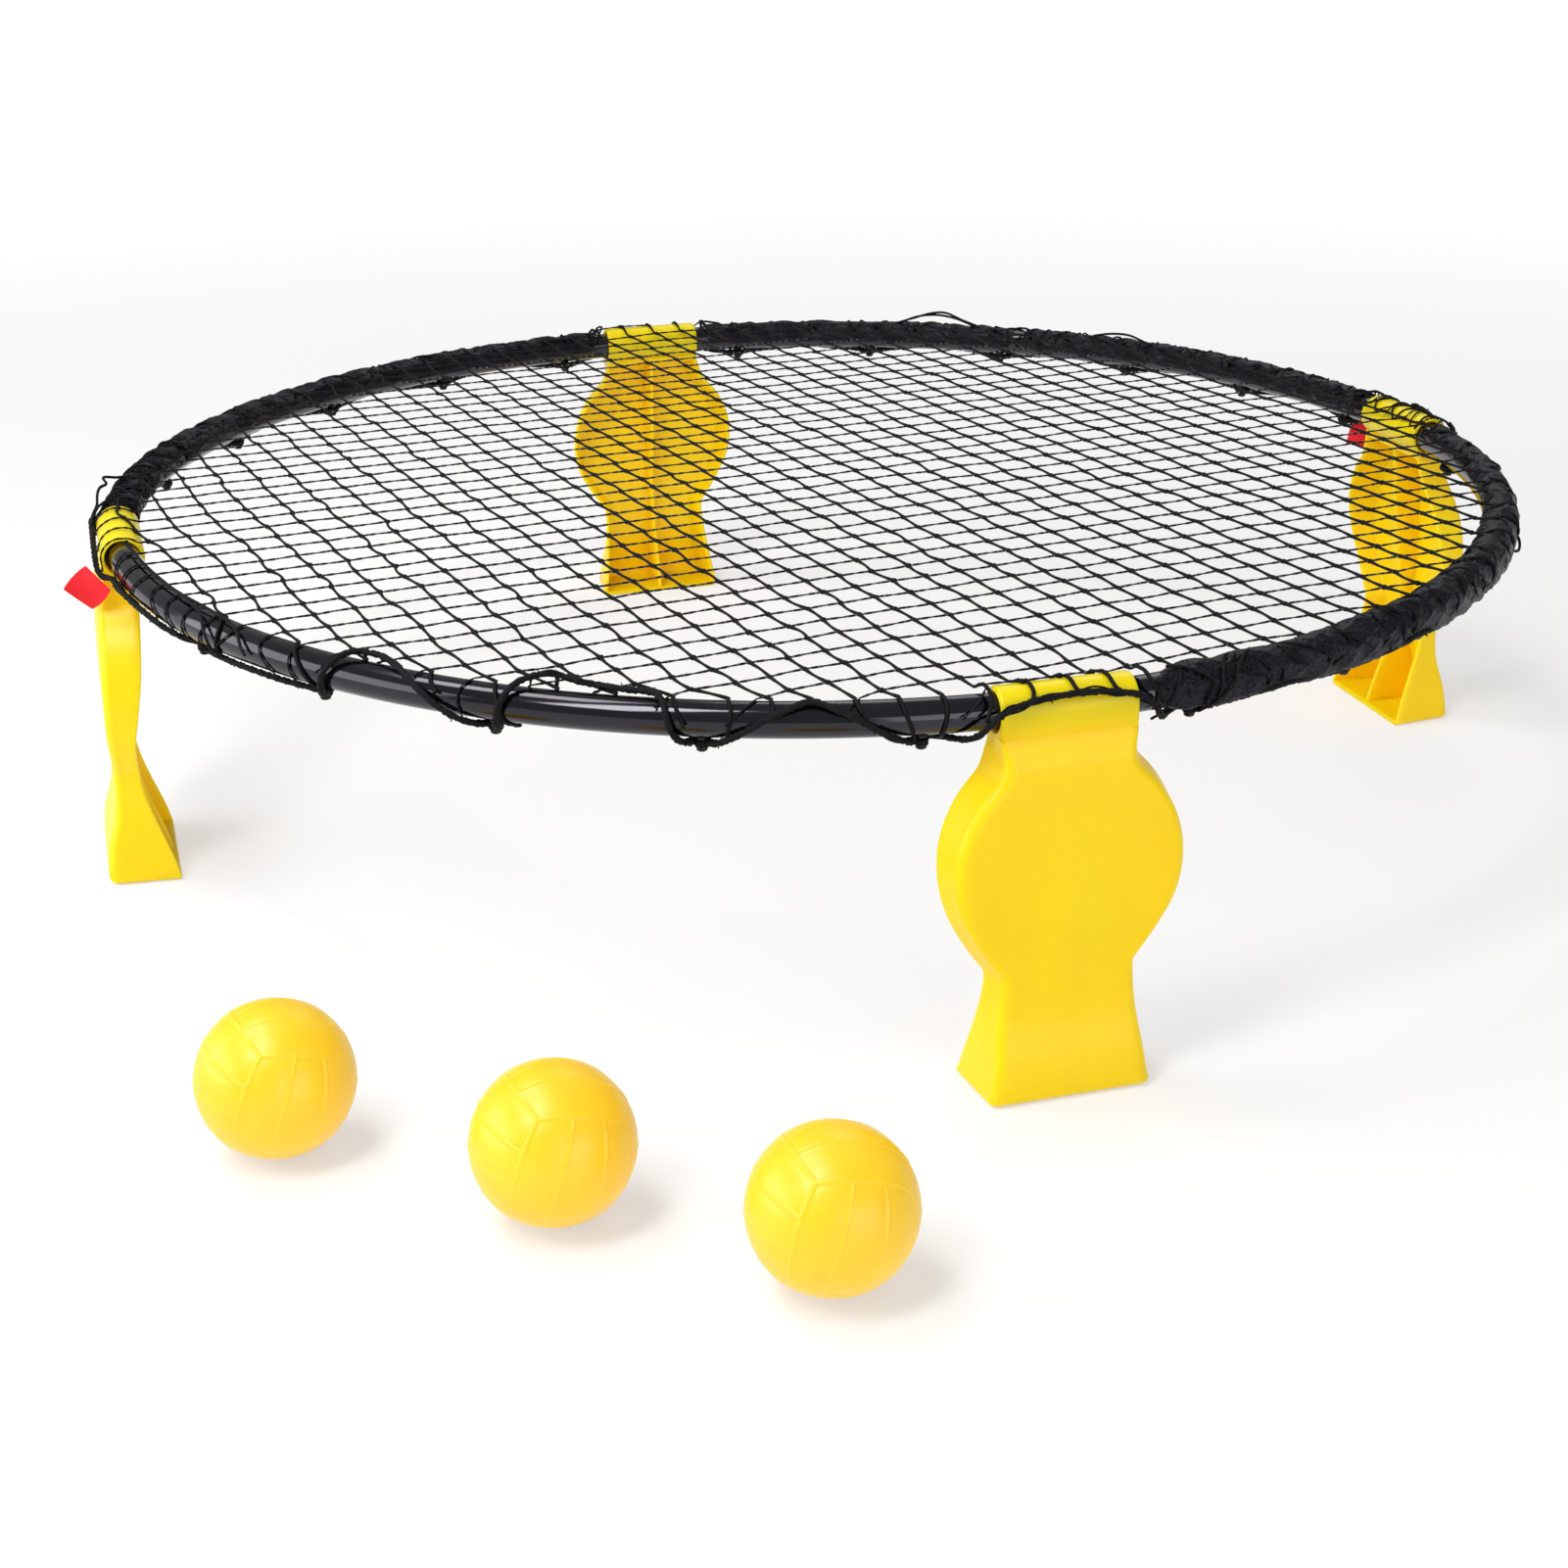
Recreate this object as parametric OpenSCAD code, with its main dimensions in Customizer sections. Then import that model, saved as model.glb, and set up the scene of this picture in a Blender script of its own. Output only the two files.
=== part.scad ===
// Roundnet set: a ring of tube on four folding legs, a net lashed over it, and three balls.
// Millimetres, Z up, standing on the ground at Z 0.

/* [Rim] */
// Diameter of the ring, to the middle of its tube
rim_d = 895; // [840:5:960]
// Outside diameter of the rim tube
tube_d = 19.2; // [18:0.1:20]
// Wall of the rim tube
tube_wall = 1.5; // [1:0.1:2]
// Height of the middle of the tube above the ground
rim_z = 212.7; // [206:0.1:240]
// Turn of the first leg from the X axis
first_leg = 16.4; // [5:0.1:30]

/* [Leg hinge] */
// Length of the straight barrel that joins two tubes
barrel_len = 60; // [50:1:66]
// Step of the barrel over the tube, which the tube ends butt against
barrel_step = 1.4; // [1.3:0.1:2]
// Running clearance between barrel and leg sleeve
hinge_gap = 0.05; // [0.03:0.01:0.1]
// Length of the spigot that enters each tube
spigot_len = 22; // [15:1:30]
// Clearance round the spigot in the tube
spigot_gap = 0.3; // [0.2:0.05:0.5]
// How far a leg folds in under the net, in degrees
fold_angle = 85; // [70:1:86]
// Width of the stop key along the barrel
key_len = 14; // [8:1:24]
// Height of the stop key over the barrel
key_h = 1; // [0.6:0.1:1.2]

/* [Leg] */
// Length of the sleeve round the tube
sleeve_len = 75; // [72:1:90]
// Wall of the sleeve
sleeve_wall = 2.3; // [1.8:0.1:3]
// Thickness of the leg's walls
leg_wall = 3; // [2:0.1:4]
// Width of the neck under the sleeve
neck_w = 73; // [66:1:75]
// Diameter of the round disc
disc_d = 127; // [110:1:134]
// Height of the middle of the disc
disc_z = 129; // [124:1:133]
// Width of the waist under the disc
waist_w = 72; // [60:1:80]
// Height of the waist
waist_z = 73; // [66:1:80]
// Width of the foot on the ground
foot_w = 93; // [84:1:110]
// Rounding of the foot's lower corners
foot_round = 5; // [2:0.5:8]
// Reach of the foot outside the middle of the tube
foot_out = 31.5; // [26:0.5:40]
// Reach of the foot inside the middle of the tube
foot_in = 14; // [8:0.5:20]
// Reach of the outer face at mid height
face_mid = 20.5; // [18.5:0.5:24]
// Reach of the outer face just under the sleeve
face_top = 17.5; // [16:0.5:20]
// Height below which the foot swells outward
swell_z = 95; // [85:1:105]
// Height above which the inner side is straight
knee_z = 82; // [74:1:90]

/* [Hooks] */
// Number of hook pegs under each quarter of the ring
pegs = 6; // [4:1:6]
// Spacing of the pegs round the ring, in degrees
peg_pitch = 14.2; // [13:0.1:14.4]
// Diameter of a peg
peg_d = 5; // [4:0.1:6]
// Length of a peg below the tube
peg_len = 8; // [6:0.5:12]
// Clearance of a peg in its hole
peg_gap = 0.1; // [0.05:0.05:0.3]

/* [Net] */
// Knot spacing of the net
mesh = 22.2; // [20:0.1:25]
// Every how many cords one is drawn
mesh_step = 2; // [2:1:4]
// Thickness of the net cord
net_cord = 1.5; // [1:0.1:2]
// Turn of the mesh from the X axis, in degrees
mesh_turn = 24.5; // [0:0.5:45]
// Shift of the cords across the first direction
shift_a = -3.5; // [-11:0.1:11]
// Shift of the cords across the second direction
shift_b = -3.5; // [-11:0.1:11]
// Width of the margin that wraps the rim, measured inside the tube's middle
margin = 10.4; // [10:0.1:14]
// Diameter of the edge cord
edge_d = 4.4; // [3:0.1:5]

/* [Tabs] */
// Width of a pull tab
tab_w = 18; // [12:1:24]
// Length of a pull tab
tab_len = 22; // [14:1:30]
// Thickness of a pull tab
tab_t = 1; // [0.6:0.1:1.5]

/* [Balls] */
// Diameter of a ball
ball_d = 82.6; // [76:0.1:95]
// Wall of a ball
ball_wall = 3; // [2:0.1:5]
// Diameter of the valve plug
valve_d = 8; // [6:0.5:10]
// Length of the valve plug
valve_len = 9; // [6:0.5:12]

/* [Hidden] */

// Colours
black = [0.04, 0.04, 0.045];
yellow = [0.98, 0.82, 0.1];
pale_yellow = [0.98, 0.85, 0.36];
red = [0.9, 0.12, 0.14];

// Rim and hinge
rim_r = rim_d / 2;
tube_r = tube_d / 2;
bore_r = tube_r - tube_wall;
half_barrel = barrel_len / 2;
barrel_r = tube_r + barrel_step;
sleeve_bore = barrel_r + hinge_gap;
sleeve_r = sleeve_bore + sleeve_wall;
spigot_r = bore_r - spigot_gap;
quarter = 90;
// The straight barrel lies half way across the bow of the rim at its ends
hinge_x = rim_x(half_barrel) / 2;

// Stop key: a low block on the barrel that runs in a groove of the sleeve
key_arc = 20;
key_slack = 1;
key_mid = 200;
key_gap = 0.2;
key_root = 1;
spigot_root = 2;
groove_r = barrel_r + key_h + key_gap;

// Leg
cut = 60;
deep = 200;
crease_top = rim_z - sleeve_r + 2;
crease_drop = 13;
cavity_top = rim_z - sleeve_r - leg_wall;
inner_top = -10;
knee_h = 14;
knee_in = 0.5;
foot_flare = 1.6;
rib_back = 2;
leg_reach = 80;

// Pegs and cords
peg_r = peg_d / 2;
first_peg = (quarter - (pegs - 1) * peg_pitch) / 2;
peg_top = rim_z - bore_r + 2;
edge_r = edge_d / 2;
cord_seat = 1;
wrap_seat = 0.1;
cord_gap = 1;
cord_run = tube_r + edge_r + cord_gap;
leg_clear = 0.4;
sleeve_run = sleeve_r + edge_r + cord_gap;
hook_turn = -90 - asin((peg_r + edge_r + cord_seat) / cord_run);
sleeve_turn = asin(sleeve_len / 2 / rim_r) + 0.6;
sleeve_ease = 2;
leg_climb = 1.35;
open_climb = 0.9;
cord_sides = 6;
cord_step = 40;
// How high the edge cord climbs round the tube between pegs, per quarter, the leg's span first
climb = [[56, -50, -45, -50, -45, -50],
         [56, -45, -50, -50, -45, -50],
         [56, -40, -20, 96, 90, 68],
         [58, -40, -50, -45, -50, -45]];

// Net
net_r = rim_r - margin;
net_z = rim_z + tube_r + wrap_seat;
net_pitch = mesh * mesh_step;
wrap_in = tube_r + wrap_seat;
over_in = sleeve_r + leg_clear;
wrap_step = 72;
wrap_end = 80;
wrap_low = acos((peg_r + cord_seat) / wrap_in);
shortest_half = 6;

// Tabs hang from the edge cord: [quarter, angle from its leg, tilt below level, turn inwards, gap]
tab_places = [[2, 7, 38, 0, 1.2], [0, 7.6, 62, 180, 2]];

// Balls on the ground, from the middle of the ring
ball_r = ball_d / 2;
ball_places = [[-276, -501], [-129, -567], [5, -628]];
valve_turn = [70, 95, 110];
valve_tilt = -20;
valve_gap = 0.1;
valve_sink = 0.5;

// The ring stands back of the origin, which is the middle of the whole set's ground plan
plan_back = (rim_r + face_x(foot_round)) * cos(first_leg) + foot_w / 2 * sin(first_leg);
plan_front = ball_r - ball_places[2][1];
ring_y = (plan_front - plan_back) / 2;

// Bow of the rim: how far its middle line lies in from the tangent, at distance t along it
function rim_x(t) = sqrt(pow(rim_d / 2, 2) - t * t) - rim_d / 2;

// Smooth step from 0 to 1
function ease(u) = let(v = min(1, max(0, u))) v * v * (3 - 2 * v);

// Reach of the leg's outer face at height z
function face_x(z) =
    z < swell_z ? face_mid + (foot_out - face_mid) * ease(1 - z / swell_z)
    : z < crease_top - crease_drop ?
        face_mid + (face_top - face_mid) * (z - swell_z) / (crease_top - crease_drop - swell_z)
    : face_top + (sleeve_r + hinge_x - face_top) * ease((z - crease_top + crease_drop) / crease_drop);

// Half width of the foot at height z, flaring down to the ground
function foot_half(z) =
    waist_w / 2 + (foot_w - waist_w) / 2 * pow(1 - z / waist_z, foot_flare);

module place() {
    translate([0, ring_y, 0]) children();
}

module at_leg(k) {
    place() rotate([0, 0, first_leg + quarter * k]) translate([rim_r, 0, 0]) children();
}

// ---- Rim ----

module rim_tube(k) {
    color(black) place() rotate([0, 0, first_leg + quarter * k]) difference() {
        translate([0, 0, rim_z]) rotate_extrude(angle = quarter, $fn = 36)
            translate([rim_r, 0]) difference() {
                circle(tube_r, $fn = 14);
                circle(bore_r, $fn = 13);
            }
        tube_end_cut();
        rotate([0, 0, quarter]) mirror([0, 1, 0]) tube_end_cut();
        for (i = [0 : pegs - 1]) at_peg(i) cylinder(h = cut, r = peg_r + peg_gap, $fn = 13);
    }
}

module tube_end_cut() {
    translate([rim_r - cut / 2, half_barrel - cut, rim_z - cut / 2]) cube([cut, cut, cut]);
}

module at_peg(i) {
    rotate([0, 0, first_peg + i * peg_pitch]) translate([rim_r, 0, rim_z - cut]) children();
}

// Barrel with a spigot into each tube and a stop key for the leg
module tube_joint(k) {
    color(black) at_leg(k) {
        along_tangent() cylinder(h = barrel_len, r = barrel_r, center = true, $fn = 18);
        along_tangent() translate([0, 0, -key_len / 2])
            rotate([0, 0, key_mid - key_arc / 2])
                ring_sector(barrel_r - key_root, barrel_r + key_h, key_arc, key_len);
        for (side = [0, 1]) mirror([0, side, 0]) spigot();
    }
}

module spigot() {
    lean = atan2(rim_x(half_barrel) - rim_x(half_barrel + spigot_len), spigot_len);
    translate([rim_x(half_barrel), half_barrel, rim_z]) rotate([0, 0, lean]) rotate([-90, 0, 0])
        translate([0, 0, -spigot_root]) cylinder(h = spigot_len + spigot_root, r = spigot_r, $fn = 13);
}

// Turns Z to run along the hinge, with X outward
module along_tangent() {
    translate([hinge_x, 0, rim_z]) rotate([90, 0, 0]) children();
}

module ring_sector(inner, outer, angle, height) {
    rotate_extrude(angle = angle, $fn = 18)
        translate([inner, 0]) square([outer - inner, height]);
}

// ---- Legs ----

module leg(k) {
    color(yellow) at_leg(k) difference() {
        union() {
            difference() {
                leg_block();
                leg_cavity();
            }
            leg_rib();
            along_tangent() cylinder(h = sleeve_len, r = sleeve_r, center = true, $fn = 18);
        }
        along_tangent() cylinder(h = sleeve_len + 2, r = sleeve_bore, center = true, $fn = 18);
        stop_groove();
    }
}

// Front outline and side profile, crossed
module leg_block() {
    intersection() {
        front_prism() leg_front(0);
        side_prism(deep) leg_side();
    }
}

module front_prism() {
    translate([-leg_reach / 2, 0, 0]) rotate([90, 0, 90]) linear_extrude(leg_reach) children();
}

module side_prism(width) {
    translate([0, width / 2, 0]) rotate([90, 0, 0]) linear_extrude(width) children();
}

// Outline from the front, with Y across and Z up
module leg_front(inset) {
    translate([0, disc_z]) circle(disc_d / 2 - inset, $fn = 24);
    translate([-neck_w / 2 + inset, disc_z]) square([neck_w - 2 * inset, rim_z - disc_z]);
    foot_front(inset);
    mirror([1, 0]) foot_front(inset);
}

// Half of the foot's outline
module foot_front(inset) {
    flare = [for (i = [1 : 3]) let(z = foot_round + (waist_z - foot_round) * i / 3)
             [foot_half(z) - inset, z]];
    corner = [for (i = [0 : 3]) let(a = -90 + i * 30, r = foot_round)
              [foot_w / 2 - r - inset + r * cos(a), r + r * sin(a)]];
    polygon(concat([[0, 0]], corner, flare, [[waist_w / 2 - inset, disc_z], [0, disc_z]]));
}

// Profile from the side, with X outward and Z up
module leg_side() {
    polygon(concat(outer_line(0), [[inner_top, rim_z]], inner_line(0)));
}

function outer_line(inset) = concat(
    [[foot_out - inset, 0]],
    [for (i = [0 : 4]) let(z = foot_round + (swell_z - foot_round) * i / 4) [face_x(z) - inset, z]],
    [for (i = [0 : 2]) let(z = crease_top - crease_drop * (1 - i / 2)) [face_x(z) - inset, z]],
    [[sleeve_r + hinge_x - inset, rim_z]]);

function inner_line(inset) =
    [[inset, knee_z + knee_h], [inset - knee_in, knee_z], [inset - foot_in, 0]];

// Hollow of the leg, open on the inner side, closed at the ground and under the sleeve
module leg_cavity() {
    intersection() {
        front_prism() leg_front(leg_wall);
        side_prism(deep) polygon(concat(
            [for (p = outer_line(leg_wall)) if (p[1] < cavity_top) p],
            [[face_x(cavity_top) - leg_wall, cavity_top],
             [-leg_reach / 2 - 1, cavity_top], [-leg_reach / 2 - 1, 0]]));
        translate([-leg_reach, -leg_reach, leg_wall]) cube([2 * leg_reach, 2 * leg_reach, deep]);
    }
}

// Stiffening rib down the middle of the hollow
module leg_rib() {
    side_prism(leg_wall) polygon(concat(
        [for (p = outer_line(leg_wall / 2)) if (p[1] < cavity_top) p],
        [[face_x(cavity_top) - leg_wall / 2, cavity_top + 1], [inner_top + rib_back, cavity_top + 1]],
        inner_line(rib_back)));
}

// Groove in the sleeve that lets the key pass from open to folded
module stop_groove() {
    along_tangent() translate([0, 0, -key_len / 2 - key_gap])
        rotate([0, 0, key_mid - key_arc / 2 - key_slack])
            ring_sector(barrel_r - key_root, groove_r, fold_angle + key_arc + 2 * key_slack,
                        key_len + 2 * key_gap);
}

// ---- Hook pegs ----

module hook_pegs(k) {
    color(black) place() rotate([0, 0, first_leg + quarter * k]) for (i = [0 : pegs - 1])
        at_peg(i) translate([0, 0, cut - tube_r - peg_len])
            cylinder(h = peg_top - rim_z + tube_r + peg_len, r = peg_r, $fn = 8);
}

// ---- Net ----

// Cords of one direction: distance of each from the middle of the ring
function cords(shift) = let(n = ceil(net_r / net_pitch) + 1)
    [for (i = [-n : n]) let(d = i * net_pitch + shift) if (abs(d) < net_r - shortest_half) d];

module net() {
    color(black) place() translate([0, 0, net_z]) linear_extrude(net_cord) intersection() {
        circle(net_r, $fn = 180);
        union() {
            rotate(mesh_turn) for (d = cords(shift_a)) cord_strip(d);
            rotate(mesh_turn + quarter) for (d = cords(shift_b)) cord_strip(d);
        }
    }
}

module cord_strip(d) {
    translate([d - net_cord / 2, -net_r]) square([net_cord, 2 * net_r]);
}

// Bearing at which each cord meets the rim
function ends(shift, turn) = [for (d = cords(shift), s = [-1, 1]) turn + s * acos(d / net_r)];

// Bearing within a quarter, from its leg, and from the nearest leg
function in_quarter(a) = (a - first_leg + 720) % quarter;
function from_leg(a) = let(b = in_quarter(a)) b > quarter / 2 ? b - quarter : b;
function quarter_of(a) = floor(((a - first_leg + 720) % 360) / quarter);

// Turn of the edge cord round the tube at a bearing from its quarter's leg
function climb_at(q, b) =
    b < first_peg ? climb[q][0]
    : b > quarter - first_peg ? climb[(q + 1) % 4][0]
    : climb[q][min(pegs - 1, floor((b - first_peg) / peg_pitch) + 1)];
function span_at(b) =
    b < first_peg ? (b + first_peg) / (2 * first_peg)
    : b > quarter - first_peg ? (b - quarter + first_peg) / (2 * first_peg)
    : ((b - first_peg) / peg_pitch) % 1;
function climb_shape(b) = b < first_peg || b > quarter - first_peg ? leg_climb : open_climb;
function cord_turn(q, b) =
    hook_turn + (climb_at(q, b) - hook_turn) * pow(1 - abs(2 * span_at(b) - 1), 1 / climb_shape(b));

// The wrapped ends of the net's cords, over the tube or over a leg's sleeve
module net_border() {
    reach = (edge_r + 2 * net_cord) / cord_run * 180 / PI;
    color(black) place() for (a = concat(ends(shift_a, mesh_turn), ends(shift_b, mesh_turn + quarter))) {
        low = max(-wrap_low, cord_turn(quarter_of(a), in_quarter(a)) + reach);
        translate([0, 0, rim_z]) rotate([0, 0, a]) rotate([90, 0, 0])
            linear_extrude(net_cord, center = true)
                if (abs(from_leg(a)) < sleeve_turn) over_sleeve((rim_r + hinge_x) / cos(from_leg(a)), low);
                else over_tube(min(wrap_end, low));
    }
}

// Corners of a line that wraps a circle of radius r on the outside, from one bearing down to another
function wrap_line(r, high, low) =
    let(n = ceil((high - low) / wrap_step), step = (high - low) / n)
    concat([for (i = [0 : n - 1]) let(a = high - step * (i + 0.5)) r / cos(step / 2) * [cos(a), sin(a)]],
           [r * [cos(low), sin(low)]]);

function backward(line) = [for (i = [len(line) - 1 : -1 : 0]) line[i]];

// Cord from the net's edge level over the top of the tube and down its outside
module over_tube(low) {
    start = net_r + wrap_seat - rim_r;
    translate([rim_r, 0]) polygon(concat(
        [[start, wrap_in]], wrap_line(wrap_in, 90, low),
        backward(wrap_line(wrap_in + net_cord, 90, low)), [[start, wrap_in + net_cord]]));
}

// Cord round a leg's sleeve, clear of it so that the leg can turn
module over_sleeve(mid, low) {
    high = 180 - asin(wrap_in / over_in);
    start = [cos(high), sin(high)];
    translate([mid, 0]) polygon(concat(
        [over_in * start], wrap_line(over_in, high, low),
        backward(wrap_line(over_in + net_cord, high, low)), [(over_in + net_cord) * start]));
}

// ---- Edge cord ----

// How far a bearing is into a leg's sleeve: 0 on the open tube, 1 beside the leg
function on_sleeve(b) = ease((sleeve_turn - abs(b > quarter / 2 ? b - quarter : b)) / sleeve_ease + 1);

// Point of the edge cord in a quarter: off the tube, or off the leg's straight sleeve
function cord_point(q, b) =
    let(turn = cord_turn(q, b), a = first_leg + quarter * q + b, share = on_sleeve(b),
        mid = rim_r + ((rim_r + hinge_x) / cos(from_leg(a)) - rim_r) * share,
        run = cord_run + (sleeve_run - cord_run) * share, rho = mid + run * cos(turn))
    [rho * cos(a), rho * sin(a), rim_z + run * sin(turn)];
function span_list(q) = concat([[-first_peg, first_peg, climb[q][0], leg_climb]],
    [for (i = [1 : pegs - 1])
        [first_peg + (i - 1) * peg_pitch, first_peg + i * peg_pitch, climb[q][i], open_climb]]);
// Share of a span at which the cord has made share w of its turns, out to the middle and back
function span_share(w, shape) = w < 0.5 ? pow(2 * w, shape) / 2 : 1 - pow(2 - 2 * w, shape) / 2;
cord_points = [for (q = [0 : 3], s = span_list(q))
    let(n = 2 * ceil((s[2] - hook_turn) / cord_step))
    for (i = [0 : n - 1]) let(b = s[0] + (s[1] - s[0]) * span_share(i / n, s[3]))
        b < 0 ? cord_point((q + 3) % 4, b + quarter) : cord_point(q, b)];

function unit(v) = v / norm(v);

module edge_cord() {
    color(black) place() closed_tube(cord_points, edge_r, cord_sides);
}

// Tube swept round a closed run of points
module closed_tube(points, r, sides) {
    n = len(points);
    rings = [for (i = [0 : n - 1])
        let(ahead = unit(points[(i + 1) % n] - points[(i + n - 1) % n]),
            side = unit(cross(ahead, [0, 0, 1])), up = cross(side, ahead))
        for (j = [0 : sides - 1]) let(a = 360 * j / sides)
            points[i] + r * (cos(a) * side + sin(a) * up)];
    faces = [for (i = [0 : n - 1], j = [0 : sides - 1])
        let(a = i * sides + j, b = i * sides + (j + 1) % sides,
            c = ((i + 1) % n) * sides + (j + 1) % sides, d = ((i + 1) % n) * sides + j)
        each [[a, b, c], [a, c, d]]];
    polyhedron(rings, faces);
}

// ---- Pull tabs ----

module pull_tab(i) {
    spot = tab_places[i];
    bearing = first_leg + quarter * spot[0] + spot[1];
    start = cord_point(spot[0], spot[1]);
    color(red) place() translate(start) rotate([0, 0, bearing + spot[3]]) rotate([0, spot[2], 0])
        translate([edge_r + spot[4], -tab_w / 2, -tab_t / 2]) cube([tab_len, tab_w, tab_t]);
}

// ---- Balls ----

module at_ball(i) {
    place() translate([ball_places[i][0], ball_places[i][1], ball_r]) children();
}

module toward_valve(i) {
    rotate([0, 0, valve_turn[i]]) rotate([0, 90 - valve_tilt, 0]) children();
}

module ball(i) {
    color(pale_yellow) at_ball(i) difference() {
        sphere(ball_r, $fn = 16);
        sphere(ball_r - ball_wall, $fn = 13);
        toward_valve(i) cylinder(h = ball_r + 1, r = valve_d / 2 + valve_gap, $fn = 13);
    }
}

module ball_valve(i) {
    color(pale_yellow) at_ball(i) toward_valve(i)
        translate([0, 0, ball_r - valve_len - valve_sink]) cylinder(h = valve_len, r = valve_d / 2, $fn = 13);
}

rim_tube(0);  // rim_tube_1
rim_tube(1);  // rim_tube_2
rim_tube(2);  // rim_tube_3
rim_tube(3);  // rim_tube_4
tube_joint(0);  // tube_joint_1
tube_joint(1);  // tube_joint_2
tube_joint(2);  // tube_joint_3
tube_joint(3);  // tube_joint_4
leg(0);  // leg_1
leg(1);  // leg_2
leg(2);  // leg_3
leg(3);  // leg_4
hook_pegs(0);  // hook_pegs_1
hook_pegs(1);  // hook_pegs_2
hook_pegs(2);  // hook_pegs_3
hook_pegs(3);  // hook_pegs_4
net();
net_border();
edge_cord();
pull_tab(0);  // pull_tab_1
pull_tab(1);  // pull_tab_2
ball(0);  // ball_1
ball(1);  // ball_2
ball(2);  // ball_3
ball_valve(0);  // ball_valve_1
ball_valve(1);  // ball_valve_2
ball_valve(2);  // ball_valve_3
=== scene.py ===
# Roundnet set: tube ring on four folding legs, knotted net lashed over it, three soft balls.
# Shapes are worked out in millimetres round the middle of the ring, then moved into the model's frame.
import math
import bpy
import numpy as np
from mathutils import Matrix, Vector


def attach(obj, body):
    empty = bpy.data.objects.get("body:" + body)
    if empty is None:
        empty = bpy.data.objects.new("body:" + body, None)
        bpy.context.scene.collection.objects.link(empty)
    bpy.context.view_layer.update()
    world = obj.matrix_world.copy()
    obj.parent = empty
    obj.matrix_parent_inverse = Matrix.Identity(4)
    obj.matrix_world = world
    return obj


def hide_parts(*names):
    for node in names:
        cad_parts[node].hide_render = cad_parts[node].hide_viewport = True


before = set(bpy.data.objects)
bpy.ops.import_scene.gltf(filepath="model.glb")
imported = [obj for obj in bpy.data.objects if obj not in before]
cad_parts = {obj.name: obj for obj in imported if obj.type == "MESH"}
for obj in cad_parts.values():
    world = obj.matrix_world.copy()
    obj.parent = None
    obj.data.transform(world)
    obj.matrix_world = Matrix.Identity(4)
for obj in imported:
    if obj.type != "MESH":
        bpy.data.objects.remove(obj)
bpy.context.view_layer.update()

# the ring, as the model has it
ring = {
    "radius": 447.5,        # middle line of the tube
    "tube": 9.6,            # outside radius of the tube
    "height": 212.7,        # middle of the tube over the ground
    "centreY": 98.372,      # the ring stands behind the middle of the set
    "firstLeg": 16.4,       # bearing of leg 1, the others follow every 90 degrees
    "hinge": -0.503,        # hinge line, inside the tangent at each leg
    "sleeve": 13.35,        # outside radius of a leg's sleeve
    "firstPeg": 9.5,        # first hook peg, in degrees past its leg
    "pegPitch": 14.2,
    "pegs": 6,
}
legBearings = ring["firstLeg"] + 90 * np.arange(4)
pegBearings = (legBearings[:, None] + ring["firstPeg"] + ring["pegPitch"] * np.arange(ring["pegs"])).ravel()


# small tools

def toLinear(hexColour):
    # sRGB hex to the linear colour a shader wants
    value = np.array([int(hexColour[i:i + 2], 16) for i in (1, 3, 5)]) / 255
    linear = np.where(value <= 0.04045, value / 12.92, ((value + 0.055) / 1.055) ** 2.4)
    return (*(float(v) for v in linear), 1.0)


def ease(u):
    # smooth step: 0 below 0, 1 above 1, 3u2 - 2u3 between
    v = np.clip(u, 0, 1)
    return v * v * (3 - 2 * v)


def radial(bearing):
    # unit vector outward at a bearing in degrees
    a = np.radians(bearing)
    return np.stack([np.cos(a), np.sin(a), np.zeros_like(a)], -1)


def spokes(count):
    # angles evenly round a full turn
    return 2 * np.pi * np.arange(count) / count


def turnBetween(start, end):
    # shortest way from one bearing to another, in degrees
    return (end - start + 180) % 360 - 180


def softened(values, times):
    # closed row, each value drawn to its neighbours: (before + 2 own + after) / 4
    for _ in range(times):
        values = (np.roll(values, 1, 0) + 2 * values + np.roll(values, -1, 0)) / 4
    return values


def smoothLine(points, count):
    # Catmull-Rom curve through the points
    p = np.asarray(points, float)
    p = np.concatenate([[2 * p[0] - p[1]], p, [2 * p[-1] - p[-2]]])
    t = np.linspace(0, len(p) - 3 - 1e-9, count)
    i = t.astype(int)
    f = (t - i)[:, None]
    a, b, c, d = p[i], p[i + 1], p[i + 2], p[i + 3]
    return 0.5 * (2 * b + (c - a) * f + (2 * a - 5 * b + 4 * c - d) * f ** 2 + (3 * b - a - 3 * c + d) * f ** 3)


def gridQuads(rows, cols, closeRows=False, closeCols=False):
    # the four corners of every cell of a rows by cols grid
    r, c = np.meshgrid(np.arange(rows if closeRows else rows - 1),
                       np.arange(cols if closeCols else cols - 1), indexing="ij")
    r2, c2 = (r + 1) % rows, (c + 1) % cols
    return np.stack([r * cols + c, r * cols + c2, r2 * cols + c2, r2 * cols + c], -1).reshape(-1, 4)


def fan(first, count, centre, flip=False):
    # triangles from a closed row of points to one centre point
    a = first + np.arange(count)
    b = first + (np.arange(count) + 1) % count
    tri = np.stack([a, b, np.full(count, centre)], -1)
    return tri[:, ::-1] if flip else tri


def cappedTube(rows, cols):
    # faces of closed rows that end in a fan to the two points after the last row
    total = rows * cols
    return [gridQuads(rows, cols, False, True), fan(0, cols, total), fan(total - cols, cols, total + 1, True)]


def lathe(centre, axis, side, up, radius, height, sides):
    # profile turned round an axis: centre + height axis + radius (cos side + sin up)
    a = spokes(sides)[None, :, None]
    return centre + height[:, None, None] * axis + radius[:, None, None] * (np.cos(a) * side + np.sin(a) * up)


def addObject(name, data):
    made = bpy.data.objects.new(name, data)
    bpy.context.scene.collection.objects.link(made)
    return made


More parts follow.
